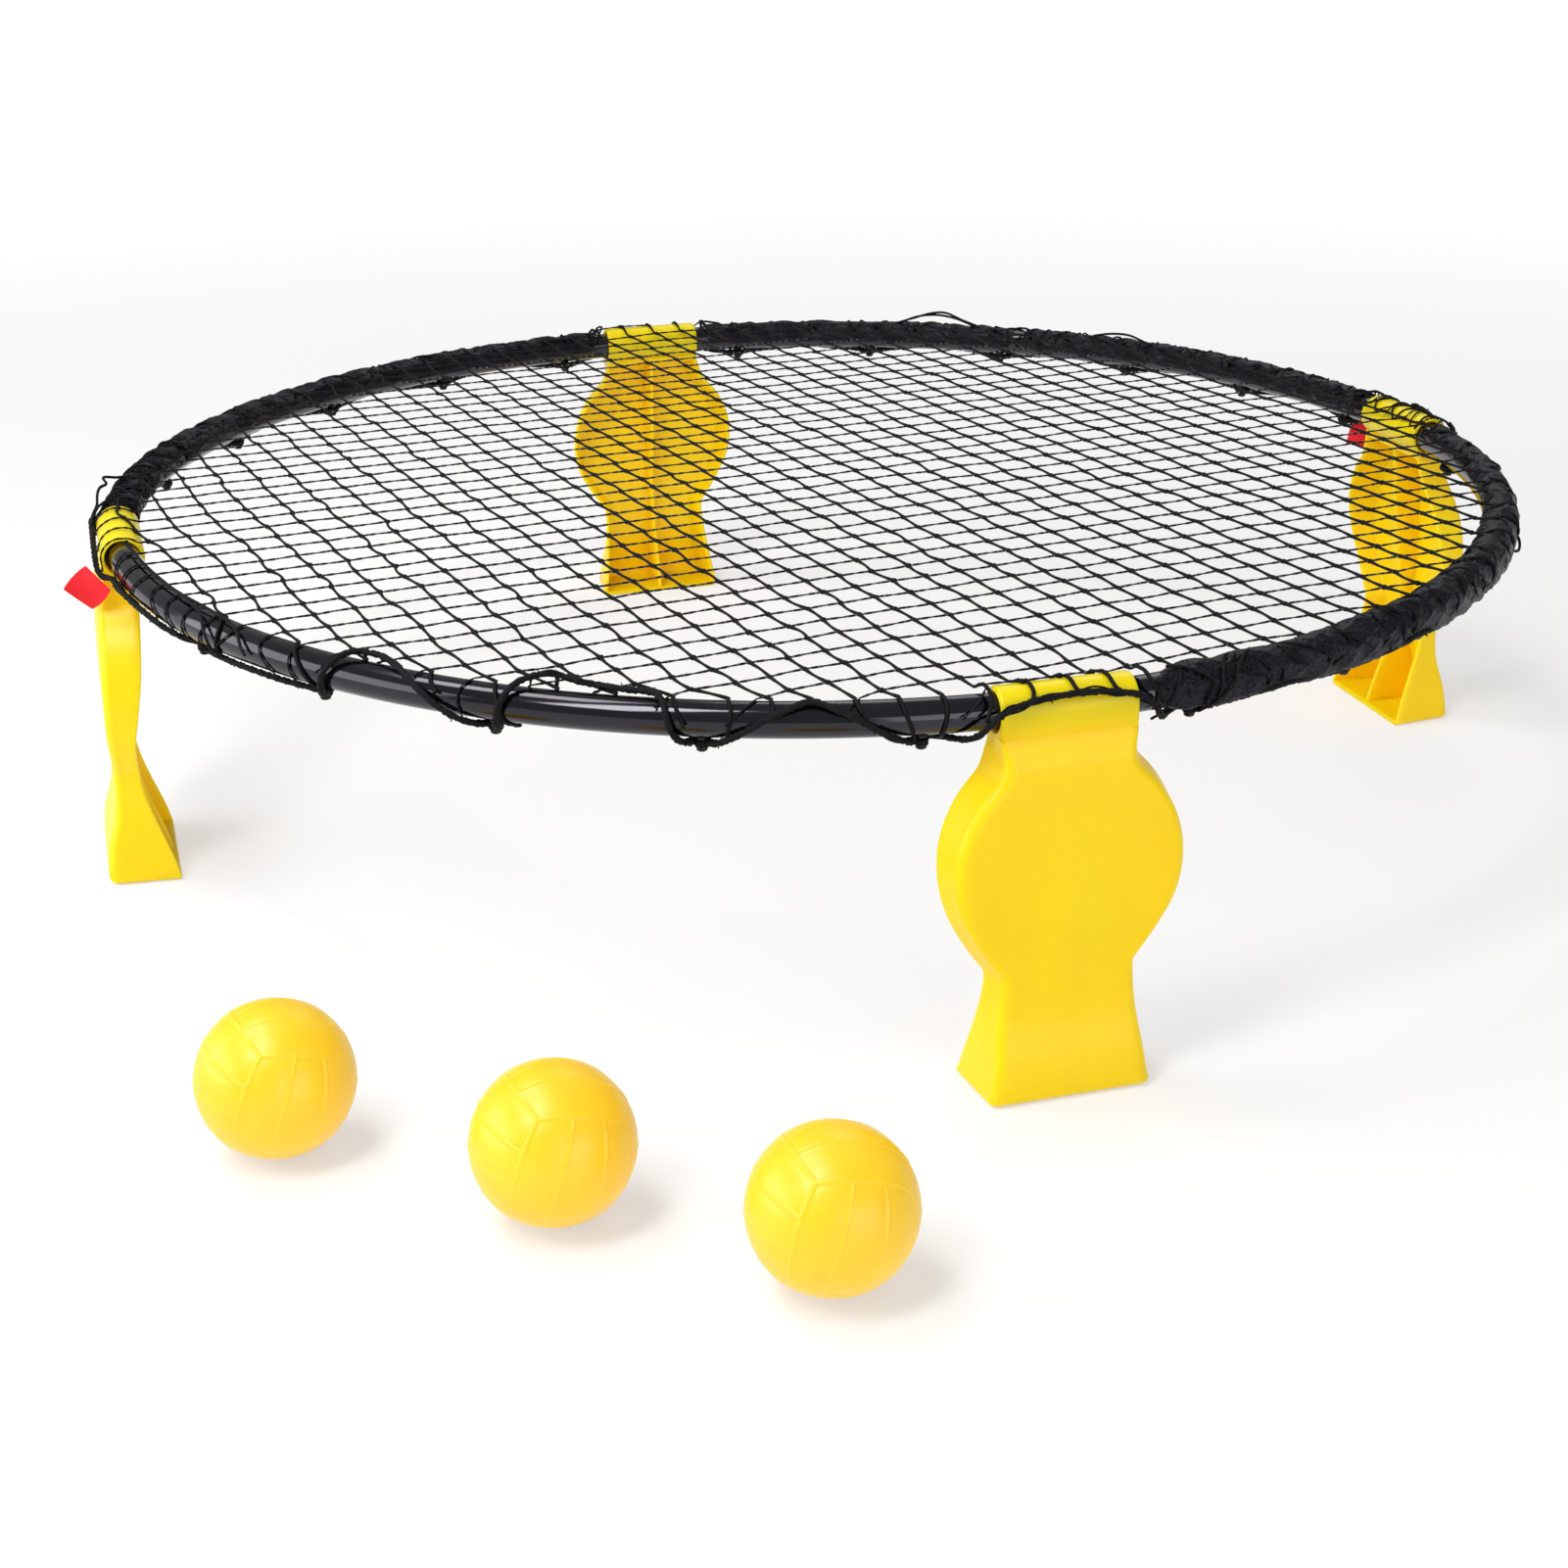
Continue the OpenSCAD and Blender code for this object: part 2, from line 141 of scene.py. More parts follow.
def makePiece(name, parts, material, body, replaced=(), sharp=0):
    # parts: (points in mm, faces, distance along each point in mm) joined into one object of metres;
    # edges that turn more than sharp degrees stay crisp
    points, faces, along, start = [], [], [], 0
    for part in parts:
        p = np.asarray(part[0], float).reshape(-1, 3)
        points.append(p)
        for block in part[1]:
            faces.extend([(np.asarray(face) + start).tolist() for face in block] if isinstance(block, list)
                         else (np.asarray(block) + start).tolist())
        along.append(np.asarray(part[2], float).ravel() if len(part) > 2 else np.zeros(len(p)))
        start += len(p)
    points = (np.concatenate(points) + [0, ring["centreY"], 0]) / 1000
    mesh = bpy.data.meshes.new(name)
    mesh.from_pydata(points.tolist(), [], faces)
    mesh.polygons.foreach_set("use_smooth", np.full(len(mesh.polygons), True))
    if sharp:
        mesh.set_sharp_from_angle(angle=math.radians(sharp))
    line = mesh.attributes.new("along", "FLOAT", "POINT")
    line.data.foreach_set("value", (np.concatenate(along) / 1000).astype(np.float32))
    mesh.materials.append(material)
    mesh.update()
    piece = addObject(name, mesh)
    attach(piece, body)
    if replaced:
        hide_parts(*replaced)
    return piece


def cordTube(path, normal, radius, sides, twist=0.0, lobes=0, lobeDepth=0.0, closed=False):
    # tube round a path: each ring lies square to the path, its first spoke along the given normal,
    # and lobes raise the ring where the laid strands show
    if closed:
        tangent = np.roll(path, -1, 0) - np.roll(path, 1, 0)
        step = np.linalg.norm(np.roll(path, -1, 0) - path, axis=1)
    else:
        tangent = np.gradient(path, axis=0)
        step = np.r_[np.linalg.norm(np.diff(path, axis=0), axis=1), 0]
    along = np.r_[0, np.cumsum(step)[:-1]]
    tangent /= np.linalg.norm(tangent, axis=1)[:, None]
    side = np.cross(tangent, normal)
    side /= np.linalg.norm(side, axis=1)[:, None]
    up = np.cross(side, tangent)
    turn = spokes(sides)
    wind = np.zeros_like(along)
    if twist:   # whole turns, so that a closed cord meets itself
        wind = along * (2 * np.pi * round(along[-1] / twist) / (along[-1] + step[-1]))
    reach = np.broadcast_to(np.asarray(radius, float), along.shape)[:, None] * (
        1 + lobeDepth * (np.abs(np.cos((turn[None, :] - wind[:, None]) * lobes / 2)) - 0.6))
    points = path[:, None] + reach[..., None] * (
        np.cos(turn)[None, :, None] * up[:, None] + np.sin(turn)[None, :, None] * side[:, None])
    points, along = points.reshape(-1, 3), np.repeat(along, sides)
    if closed:
        return points, [gridQuads(len(path), sides, True, True)], along
    # rounded-off ends: one point past each end ring
    ends = np.stack([path[0] - tangent[0] * np.mean(reach[0]) * 0.6,
                     path[-1] + tangent[-1] * np.mean(reach[-1]) * 0.6])
    return np.concatenate([points, ends]), cappedTube(len(path), sides), np.r_[along, along[0], along[-1]]


def node(tree, kind, links=(), stops=(), **settings):
    # adds a node, sets its sockets, its properties and a ramp's (place, hex) stops,
    # and links it: (from node, its output, socket)
    made = tree.nodes.new(kind)
    for key, value in settings.items():
        if key in made.inputs:
            made.inputs[key].default_value = value
        else:
            setattr(made, key, value)
    if stops:
        elements = made.color_ramp.elements
        while len(elements) < len(stops):
            elements.new(0.5)
        for element, (place, colour) in zip(elements, stops):
            element.position = place
            element.color = toLinear(colour)
    for source, output, target in links:
        tree.links.new(source.outputs[output], made.inputs[target])
    return made


def emptyTree(owner):
    # node tree of a new material or world, with nothing in it
    owner.use_nodes = True
    owner.node_tree.nodes.clear()
    return owner.node_tree


def newMaterial(name, finish, *choices):
    # a finish makes its patterns, and gives each socket of the surface a node or a plain value
    material = bpy.data.materials.new(name)
    tree = emptyTree(material)
    surface = node(tree, "ShaderNodeBsdfPrincipled")
    for socket, value in finish(tree, *choices).items():
        if isinstance(value, bpy.types.Node):
            tree.links.new(value.outputs[0], surface.inputs[socket])
        else:
            surface.inputs[socket].default_value = value
    node(tree, "ShaderNodeOutputMaterial", [(surface, "BSDF", "Surface")])
    return material


# camera, floor and light

cameraSettings = {
    "place": (-0.01083, -1.49656, 0.65568),
    "yaw": -0.242, "pitch": 22.603, "roll": -0.730,   # degrees
    "lens": 56.276, "sensor": 36.0,
}


def makeCamera(s):
    yaw, pitch, roll = (math.radians(s[k]) for k in ("yaw", "pitch", "roll"))
    ahead = np.array([math.sin(yaw) * math.cos(pitch), math.cos(yaw) * math.cos(pitch), -math.sin(pitch)])
    right = np.array([math.cos(yaw), -math.sin(yaw), 0])
    up = np.cross(right, ahead)
    across = math.cos(roll) * right + math.sin(roll) * up
    upright = -math.sin(roll) * right + math.cos(roll) * up
    data = bpy.data.cameras.new("camera")
    data.lens, data.sensor_width = s["lens"], s["sensor"]
    camera = addObject("camera", data)
    columns = [(*axis, 0) for axis in (across, upright, -ahead)] + [(*s["place"], 1)]
    camera.matrix_world = Matrix(columns).transposed()
    bpy.context.scene.camera = camera


stageSettings = {
    "floorHalf": 14.0,          # metres
    "floorColour": "#F4F4F4",
    "shadowShare": 0.5,         # how much of the floor's own shading the camera sees near the set
    "nearest": 0.9, "farthest": 2.4,   # metres over which the floor turns plain white
    "world": 0.33,
    # name: place, aim, width and depth (m), power (W)
    "lamps": {
        "keyLamp": ((-0.75, -1.10, 1.85), (-0.08, -0.35, 0.21), (0.50, 1.15), 25),
        "topLamp": ((-1.10, 0.15, 2.40), (-0.25, -0.30, 0.1), (0.90, 0.90), 20),
        "sideLamp": ((-2.4, -0.45, 0.75), (0, 0, 0.15), (2.4, 1.2), 28),
        "frontLamp": ((1.6, -2.6, 0.6), (0, 0, 0.12), (2.4, 1.6), 29),
        "backLamp": ((0.6, 2.2, 2.2), (0, 0, 0.2), (1.6, 1.6), 12),
    },
}


def makeFloor(s):
    # white paper: its own shading near the set, plain white far off and in whatever mirrors it
    corners = [(x * s["floorHalf"], y * s["floorHalf"], 0) for x, y in ((-1, -1), (1, -1), (1, 1), (-1, 1))]
    mesh = bpy.data.meshes.new("floor")
    mesh.from_pydata(corners, [], [(0, 1, 2, 3)])
    floor = addObject("floor", mesh)
    material = bpy.data.materials.new("matt white paper floor")
    tree = emptyTree(material)
    paper = node(tree, "ShaderNodeBsdfDiffuse", Color=toLinear(s["floorColour"]))
    white = node(tree, "ShaderNodeEmission", Color=(1, 1, 1, 1), Strength=1.0)
    place = node(tree, "ShaderNodeTexCoord")
    length = node(tree, "ShaderNodeVectorMath", [(place, "Object", 0)], operation="LENGTH")
    far = node(tree, "ShaderNodeMapRange", [(length, "Value", "Value")],
               **{"From Min": s["nearest"], "From Max": s["farthest"],
                  "To Min": 1 - s["shadowShare"], "To Max": 1.0})
    ray = node(tree, "ShaderNodeLightPath")
    seen = node(tree, "ShaderNodeMath", [(ray, "Is Camera Ray", 0), (far, "Result", 1)], operation="MULTIPLY")
    mirrored = node(tree, "ShaderNodeMath", [(ray, "Is Glossy Ray", 0), (ray, "Is Transmission Ray", 1)],
                    operation="MAXIMUM")
    share = node(tree, "ShaderNodeMath", [(seen, 0, 0), (mirrored, 0, 1)], operation="MAXIMUM")
    mix = node(tree, "ShaderNodeMixShader", [(share, 0, 0), (paper, 0, 1), (white, 0, 2)])
    node(tree, "ShaderNodeOutputMaterial", [(mix, 0, "Surface")])
    mesh.materials.append(material)


def makeLight(s):
    # soft white world, plain white where the camera sees it, and area lamps
    world = bpy.data.worlds.new("white studio")
    bpy.context.scene.world = world
    tree = emptyTree(world)
    soft = node(tree, "ShaderNodeBackground", Color=(1, 1, 1, 1), Strength=s["world"])
    plain = node(tree, "ShaderNodeBackground", Color=(1, 1, 1, 1), Strength=1.0)
    ray = node(tree, "ShaderNodeLightPath")
    through = node(tree, "ShaderNodeMath", [(ray, "Is Camera Ray", 0), (ray, "Is Transmission Ray", 1)],
                   operation="MAXIMUM")
    mix = node(tree, "ShaderNodeMixShader", [(through, 0, 0), (soft, 0, 1), (plain, 0, 2)])
    node(tree, "ShaderNodeOutputWorld", [(mix, 0, "Surface")])
    for name, (spot, aim, size, power) in s["lamps"].items():
        data = bpy.data.lights.new(name, "AREA")
        data.shape, data.size, data.size_y, data.energy = "RECTANGLE", size[0], size[1], power
        lamp = addObject(name, data)
        lamp.visible_camera = False
        lamp.location = spot
        lamp.rotation_euler = (Vector(aim) - Vector(spot)).to_track_quat("-Z", "Y").to_euler()


bpy.context.scene.view_settings.view_transform = "Standard"
makeCamera(cameraSettings)
makeFloor(stageSettings)
makeLight(stageSettings)
print("camera, floor and lamps are set")


# materials

def blackEnamel(tree):
    # black enamel on steel tube, dipped and baked: deep gloss with a faint orange peel
    place = node(tree, "ShaderNodeTexCoord")
    peel = node(tree, "ShaderNodeTexNoise", [(place, "Object", "Vector")], Scale=420.0, Detail=2.0)   # 2.4 mm
    dust = node(tree, "ShaderNodeTexNoise", [(place, "Object", "Vector")], Scale=38.0, Detail=5.0)   # 26 mm
    tint = node(tree, "ShaderNodeValToRGB", [(dust, "Fac", "Fac")], [(0.35, "#050407"), (0.75, "#0E0D12")])
    rough = node(tree, "ShaderNodeMapRange", [(dust, "Fac", "Value")], **{"To Min": 0.09, "To Max": 0.14})
    bump = node(tree, "ShaderNodeBump", [(peel, "Fac", "Height")], Strength=0.02, Distance=0.0002)
    return {"Base Color": tint, "Roughness": rough, "Normal": bump,
            "Specular IOR Level": 0.55, "Specular Tint": (0.93, 0.9, 1.0, 1.0)}


def blackNylon(tree):
    # moulded black nylon: satin, with fine spark-eroded grain
    place = node(tree, "ShaderNodeTexCoord")
    grain = node(tree, "ShaderNodeTexNoise", [(place, "Object", "Vector")], Scale=1600.0, Detail=2.0)   # 0.6 mm
    tint = node(tree, "ShaderNodeValToRGB", [(grain, "Fac", "Fac")], [(0.3, "#0A0A0C"), (0.8, "#141417")])
    bump = node(tree, "ShaderNodeBump", [(grain, "Fac", "Height")], Strength=0.15, Distance=0.0001)
    return {"Base Color": tint, "Normal": bump, "Roughness": 0.42, "Specular IOR Level": 0.3}


def yellowPolypropylene(tree):
    # injection-moulded yellow polypropylene: soft gloss, faint flow marks, light goes a little way in
    place = node(tree, "ShaderNodeTexCoord")
    flow = node(tree, "ShaderNodeMapping", [(place, "Object", "Vector")], Scale=(9.0, 9.0, 3.5))
    cloud = node(tree, "ShaderNodeTexNoise", [(flow, "Vector", "Vector")], Scale=1.6, Detail=3.0)   # 70 mm
    grain = node(tree, "ShaderNodeTexNoise", [(place, "Object", "Vector")], Scale=900.0, Detail=2.0)   # 1.1 mm
    tint = node(tree, "ShaderNodeValToRGB", [(cloud, "Fac", "Fac")], [(0.3, "#FCCC04"), (0.7, "#FED40A")])
    rough = node(tree, "ShaderNodeMapRange", [(cloud, "Fac", "Value")], **{"To Min": 0.30, "To Max": 0.42})
    bump = node(tree, "ShaderNodeBump", [(grain, "Fac", "Height")], Strength=0.05, Distance=0.0001)
    return {"Base Color": tint, "Roughness": rough, "Normal": bump,
            "Specular IOR Level": 0.28, "Subsurface Weight": 0.85,
            "Subsurface Radius": (1.0, 0.72, 0.04), "Subsurface Scale": 0.008}


def alongWave(tree, pitch):
    # sine of the distance along a cord or strip, one wave for each pitch in metres
    line = node(tree, "ShaderNodeAttribute", attribute_name="along")
    turn = node(tree, "ShaderNodeMath", [(line, "Fac", 0)], operation="MULTIPLY")
    turn.inputs[1].default_value = 2 * math.pi / pitch
    return node(tree, "ShaderNodeMath", [(turn, 0, 0)], operation="SINE")


def netCord(tree, dark, light, share):
    # twisted polyethylene net cord: two plies that turn about every 5 mm, drawn as light and dark along it: the
    # light is painted sheen on the plies
    wave = alongWave(tree, 0.0052)
    place = node(tree, "ShaderNodeTexCoord")
    # the painted sheen is stronger in some stretches than in others, by this noise
    unevenSheen = node(tree, "ShaderNodeTexNoise", [(place, "Object", "Vector")], Scale=120.0, Detail=2.0)   # 8 mm
    both = node(tree, "ShaderNodeMath", [(wave, 0, 0), (unevenSheen, "Fac", 1)], operation="MULTIPLY")
    # the lighter stop is the painted sheen of the plies, the darker one the cord's own black
    tint = node(tree, "ShaderNodeValToRGB", [(both, 0, "Fac")], [(0.0, dark), (share, dark), (0.5, light)])
    return {"Base Color": tint, "Roughness": 0.7, "Specular IOR Level": 0.2}


def bunchedNet(tree):
    # layers of black net drawn tight: fine mesh cells 3 mm wide catch the light along their cords
    place = node(tree, "ShaderNodeTexCoord")
    cells = node(tree, "ShaderNodeTexVoronoi", [(place, "Object", "Vector")], Scale=330.0,
                 feature="DISTANCE_TO_EDGE")
    # painted highlight along the cells' cords, painted shade in the cells between
    tint = node(tree, "ShaderNodeValToRGB", [(cells, "Distance", "Fac")], [(0.0, "#17161C"), (0.25, "#040305")])
    fuzz = node(tree, "ShaderNodeTexNoise", [(place, "Object", "Vector")], Scale=240.0, Detail=4.0)   # 4 mm
    both = node(tree, "ShaderNodeMath", [(fuzz, "Fac", 0), (cells, "Distance", 1)], operation="SUBTRACT")
    bump = node(tree, "ShaderNodeBump", [(both, 0, "Height")], Strength=0.6, Distance=0.0010)
    return {"Base Color": tint, "Normal": bump,
            "Roughness": 0.38, "Specular IOR Level": 0.16, "Specular Tint": (0.9, 0.86, 1.0, 1.0)}


def laidRope(tree):
    # laid black polyester edge cord, worn fuzzy
    place = node(tree, "ShaderNodeTexCoord")
    fuzz = node(tree, "ShaderNodeTexNoise", [(place, "Object", "Vector")], Scale=700.0, Detail=3.0)   # 1.4 mm
    tint = node(tree, "ShaderNodeValToRGB", [(fuzz, "Fac", "Fac")], [(0.35, "#040405"), (0.7, "#121114")])
    bump = node(tree, "ShaderNodeBump", [(fuzz, "Fac", "Height")], Strength=0.5, Distance=0.0006)
    return {"Base Color": tint, "Normal": bump, "Roughness": 0.75, "Specular IOR Level": 0.2}


def redWebbing(tree):
    # flat woven polyester webbing, 1 mm ribs across, drawn a little coarse at 1.4 mm
    rib = alongWave(tree, 0.0014)
    # lighter on the ribs' tops and darker in the grooves between, by the same wave as the bump: painted shade
    # in the grooves
    tint = node(tree, "ShaderNodeValToRGB", [(rib, 0, "Fac")], [(0.0, "#E8242C"), (0.8, "#F8363E")])
    bump = node(tree, "ShaderNodeBump", [(rib, 0, "Height")], Strength=0.4, Distance=0.0003)
    return {"Base Color": tint, "Normal": bump, "Roughness": 0.7, "Specular IOR Level": 0.15}


def yellowRubber(tree):
    # soft blown rubber: matt, light goes some way in, deeper yellow in shade
    place = node(tree, "ShaderNodeTexCoord")
    skin = node(tree, "ShaderNodeTexNoise", [(place, "Object", "Vector")], Scale=1100.0, Detail=2.0)   # 0.9 mm
    cloud = node(tree, "ShaderNodeTexNoise", [(place, "Object", "Vector")], Scale=28.0, Detail=3.0)   # 36 mm
    tint = node(tree, "ShaderNodeValToRGB", [(cloud, "Fac", "Fac")], [(0.3, "#FCC91B"), (0.7, "#FDCF23")])
    bump = node(tree, "ShaderNodeBump", [(skin, "Fac", "Height")], Strength=0.08, Distance=0.0001)
    return {"Base Color": tint, "Normal": bump,
            "Roughness": 0.36, "Specular IOR Level": 0.5, "Subsurface Weight": 0.35,
            "Subsurface Radius": (1.0, 0.6, 0.12), "Subsurface Scale": 0.010}


enamel = newMaterial("black baked enamel", blackEnamel)
nylon = newMaterial("black moulded nylon", blackNylon)
legPlastic = newMaterial("yellow moulded polypropylene", yellowPolypropylene)
# both net cords are black: their lighter stop is painted sheen on the lay, faint on the first, grey on the
# second
cordDark = newMaterial("black twisted net cord", netCord, "#050406", "#131216", 0.3)
cordSheened = newMaterial("black net cord, painted sheen on its lay", netCord, "#0B0B0D", "#605F65", 0.2)
foldedNet = newMaterial("bunched black net", bunchedNet)
rope = newMaterial("black laid polyester cord", laidRope)
webbing = newMaterial("red woven polyester webbing", redWebbing)
rubber = newMaterial("pale yellow blown rubber", yellowRubber)

for name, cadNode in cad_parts.items():
    finish = enamel if name.startswith("rim_tube") else nylon if name.startswith("tube_joint") else None
    if finish:
        cadNode.data.materials.clear()
        cadNode.data.materials.append(finish)
print("materials are made")


# edge cord

edgeCord = {
    "radius": 1.9,
    "run": 12.0,             # from the tube's middle to the cord's
    "sleeveRun": 16.2,       # the same beside a leg's sleeve
    "hookTurn": -116.4,      # where it hooks behind a peg, in degrees below the outer side
    "hookOff": 0.8,          # a peg holds it off a little
    "sleeveTurn": 5.41,      # half of a sleeve, in degrees of the ring
    # per quarter, the leg's span first: how high it climbs between pegs (turn), how flat-topped the climb is
    "climb": [[56, -50, -45, -50, -45, -50], [30, -45, -50, -50, -45, -50],
              [0, 0, -55, 0, 0, 74], [0, -32, -28, -50, -45, -50]],
    "flat": [[1.35, 3, 3, 3, 3, 3], [1.35, 3, 3, 3, 3, 3],
             [1.3, 1.3, 3, 2.2, 3.2, 1.5], [4.2, 3, 3, 2.4, 3, 3]],
    # spans where it was pulled about, by (quarter, span): share of the span, turn, distance off the middle
    "pulled": {
        (2, 0): [(0, -116, 12.6), (0.08, -60, 12.6), (0.14, -10, 12.4), (0.21, 12, 12), (0.43, 8, 12),
                 (0.5, 2, 12), (0.66, 0, 12), (0.74, -3, 12), (0.79, -11, 12), (0.83, -28, 12), (1, -30, 12)],
        (2, 1): [(0, -30, 12), (0.1, -31, 12), (0.5, -28, 12), (0.63, -44, 12), (0.85, -75, 12.4),
                 (1, -116, 12.8)],
        (2, 3): [(0, -116, 12.8), (0.05, -60, 12.6), (0.12, 30, 13), (0.22, 105, 14), (0.32, 112, 14),
                 (0.42, 95, 13), (0.52, 70, 12.2), (0.75, -5, 12.2), (0.92, -70, 12.4), (1, -116, 12.8)],
        (2, 4): [(0, -116, 12.8), (0.04, -60, 12.6), (0.08, 20, 13), (0.14, 85, 13.6), (0.27, 124, 18.5),
                 (0.4, 118, 15), (0.6, 106, 13), (0.78, 100, 12.4), (0.84, 60, 12.2), (0.88, -20, 12.2),
                 (0.93, -75, 12.4), (1, -116, 12.8)],
        (3, 0): [(0, -116, 12.8), (0.07, -106, 12.6), (0.12, -78, 12.4), (0.17, -32, 12), (0.215, 4, 12),
                 (0.27, 20, 12), (0.36, 33, 12), (0.5, 38, 12), (0.62, 36, 12), (0.73, 24, 12), (0.78, 5, 12),
                 (0.86, -60, 12.4), (0.93, -100, 12.6), (1, -116, 12.8)],
    },
    "perDegree": 20,         # samples of the route
    "ringPitch": 1.4,        # mm between the rings of its mesh
    "lay": 11.0,             # mm for one turn of its three strands
    "strands": 2,            # loose ones beside it
    "hairs": 420,
    "seed": 5,
}


def fromLeg(bearing):
    # degrees from the nearest leg, and how far into its sleeve (0 to 1)
    b = (np.asarray(bearing, float) - ring["firstLeg"] + 45) % 90 - 45
    inside = ease((edgeCord["sleeveTurn"] - np.abs(b)) / 2 + 1)
    return b, inside


def middleLine(bearing):
    # distance of the tube's or sleeve's middle from the centre of the ring
    b, inside = fromLeg(bearing)
    return ring["radius"] + ((ring["radius"] + ring["hinge"]) / np.cos(np.radians(b)) - ring["radius"]) * inside


def cordRoute(s):
    # turn and distance of the edge cord all round the ring: up from the hook to the climb and back on each
    # span, hook + (climb - hook) (1 - |2 share - 1|)^(1 / flat), or read between a pulled span's points
    bearing = np.arange(360 * s["perDegree"]) / s["perDegree"]
    first, pitch = ring["firstPeg"], ring["pegPitch"]
    past = (bearing - ring["firstLeg"]) % 360
    quarter, b = (past // 90).astype(int), past % 90
    low, high = b < first, b > 90 - first
    span = np.where(low | high, 0, np.clip(np.floor((b - first) / pitch).astype(int) + 1, 1, ring["pegs"] - 1))
    quarter = np.where(high, (quarter + 1) % 4, quarter)
    share = np.where(low, (b + first) / (2 * first),
                     np.where(high, (b - 90 + first) / (2 * first), ((b - first) / pitch) % 1))
    top, flat = np.array(s["climb"], float)[quarter, span], np.array(s["flat"], float)[quarter, span]
    turn = s["hookTurn"] + (top - s["hookTurn"]) * (1 - np.abs(2 * share - 1)) ** (1 / flat)
    run = s["run"] + s["hookOff"] * np.abs(2 * share - 1) ** 6
    for (q, i), points in s["pulled"].items():
        here = (quarter == q) & (span == i)
        at, turns, runs = np.array(points, float).T
        turn[here], run[here] = np.interp(share[here], at, turns), np.interp(share[here], at, runs)
    return bearing, softened(turn, 8), softened(run, 8)   # softened over a millimetre or so


routeBearing, routeTurn, routeRun = cordRoute(edgeCord)


def cordTurn(bearing):
    # how far round the tube the edge cord lies at a bearing, in degrees from the outer side
    return np.interp(np.asarray(bearing) % 360, routeBearing, routeTurn, period=360)


def cordRun(bearing):
    # distance of the edge cord from the tube's middle on the open tube
    return np.interp(np.asarray(bearing) % 360, routeBearing, routeRun, period=360)


def roundTube(bearing, turn, run, sleeveRun):
    # point at a bearing, at an angle round the tube (0 outward, 90 up) and a distance off its middle
    inside = fromLeg(bearing)[1]
    reach = run + (sleeveRun - run) * inside
    a = np.radians(turn)
    out = radial(bearing)
    point = out * (middleLine(bearing) + reach * np.cos(a))[:, None]
    point[:, 2] = ring["height"] + reach * np.sin(a)
    normal = out * np.cos(a)[:, None]
    normal[:, 2] = np.sin(a)
    return point, normal


def makeEdgeCord(s):
    # laid rope on the route that hooks behind each peg, with loose strands that wander beside it
    fine = np.linspace(0, 360, 14000, endpoint=False)
    point, _ = roundTube(fine, cordTurn(fine), cordRun(fine), s["sleeveRun"])
    length = np.r_[0, np.cumsum(np.linalg.norm(np.roll(point, -1, 0) - point, axis=1))]
    rings = int(length[-1] / s["ringPitch"])
    even = np.interp(np.arange(rings) * length[-1] / rings, length, np.r_[fine, 360])
    point, normal = roundTube(even, cordTurn(even), cordRun(even), s["sleeveRun"])
    point = softened(point, 4)   # rounds the corners at the hooks
    rng = np.random.default_rng(s["seed"])
    wander = np.arange(rings) / rings * 2 * np.pi
    toPeg = np.abs(turnBetween(pegBearings[None], even[:, None])).min(1)
    bundle = 1 + 0.45 * np.exp(-(toPeg / 0.9) ** 2)     # net cords are knotted on by each peg
    # lumps and wanders are whole numbers of waves round the ring, so that the cord meets itself
    lump = bundle * (1 + 0.10 * np.sin(wander * 411 + 2 * np.sin(wander * 67)) + 0.07 * np.sin(wander * 887))
    parts = [cordTube(point, normal, s["radius"] * 0.9 * lump, 10, s["lay"], 3, 0.3, closed=True)]
    for k in range(s["strands"]):
        phase = rng.uniform(0, 6.28, 3)
        turn = cordTurn(even) + 6 * np.sin(wander * (53 + 9 * k) + phase[0]) + \
            3 * np.sin(wander * (131 + 7 * k) + phase[1])
        off = cordRun(even) + 0.5 + 0.7 * (1 + np.sin(wander * (89 + 5 * k) + phase[2])) * 0.5
        strand, out = roundTube(even, turn, off, off - s["run"] + s["sleeveRun"])
        parts.append(cordTube(softened(strand, 3)[::2], out[::2], 0.6, 5, closed=True))
    # worn fibres: short hairs that stand off the cord
    for i in rng.integers(0, rings, s["hairs"]).tolist():
        lean = rng.normal(0, 1, 3)
        grow = normal[i] * rng.uniform(0.2, 1.0) + 0.8 * lean
        grow /= np.linalg.norm(grow)
        span = rng.uniform(0.8, 2.2)
        t = np.linspace(0, 1, 4)[:, None]
        bend = np.cross(grow, lean) * 0.3
        line = point[i] + grow * s["radius"] * 0.6 + (grow * t + bend * t * t) * span
        parts.append(cordTube(line, np.tile(np.cross(grow, [0.3, 0.5, 0.81]), (4, 1)), 0.38, 4))
    makePiece("edge_rope", parts, rope, "frame", ("edge_cord",))
    print("edge cord:", round(length[-1] / 1000, 3), "m")


# net

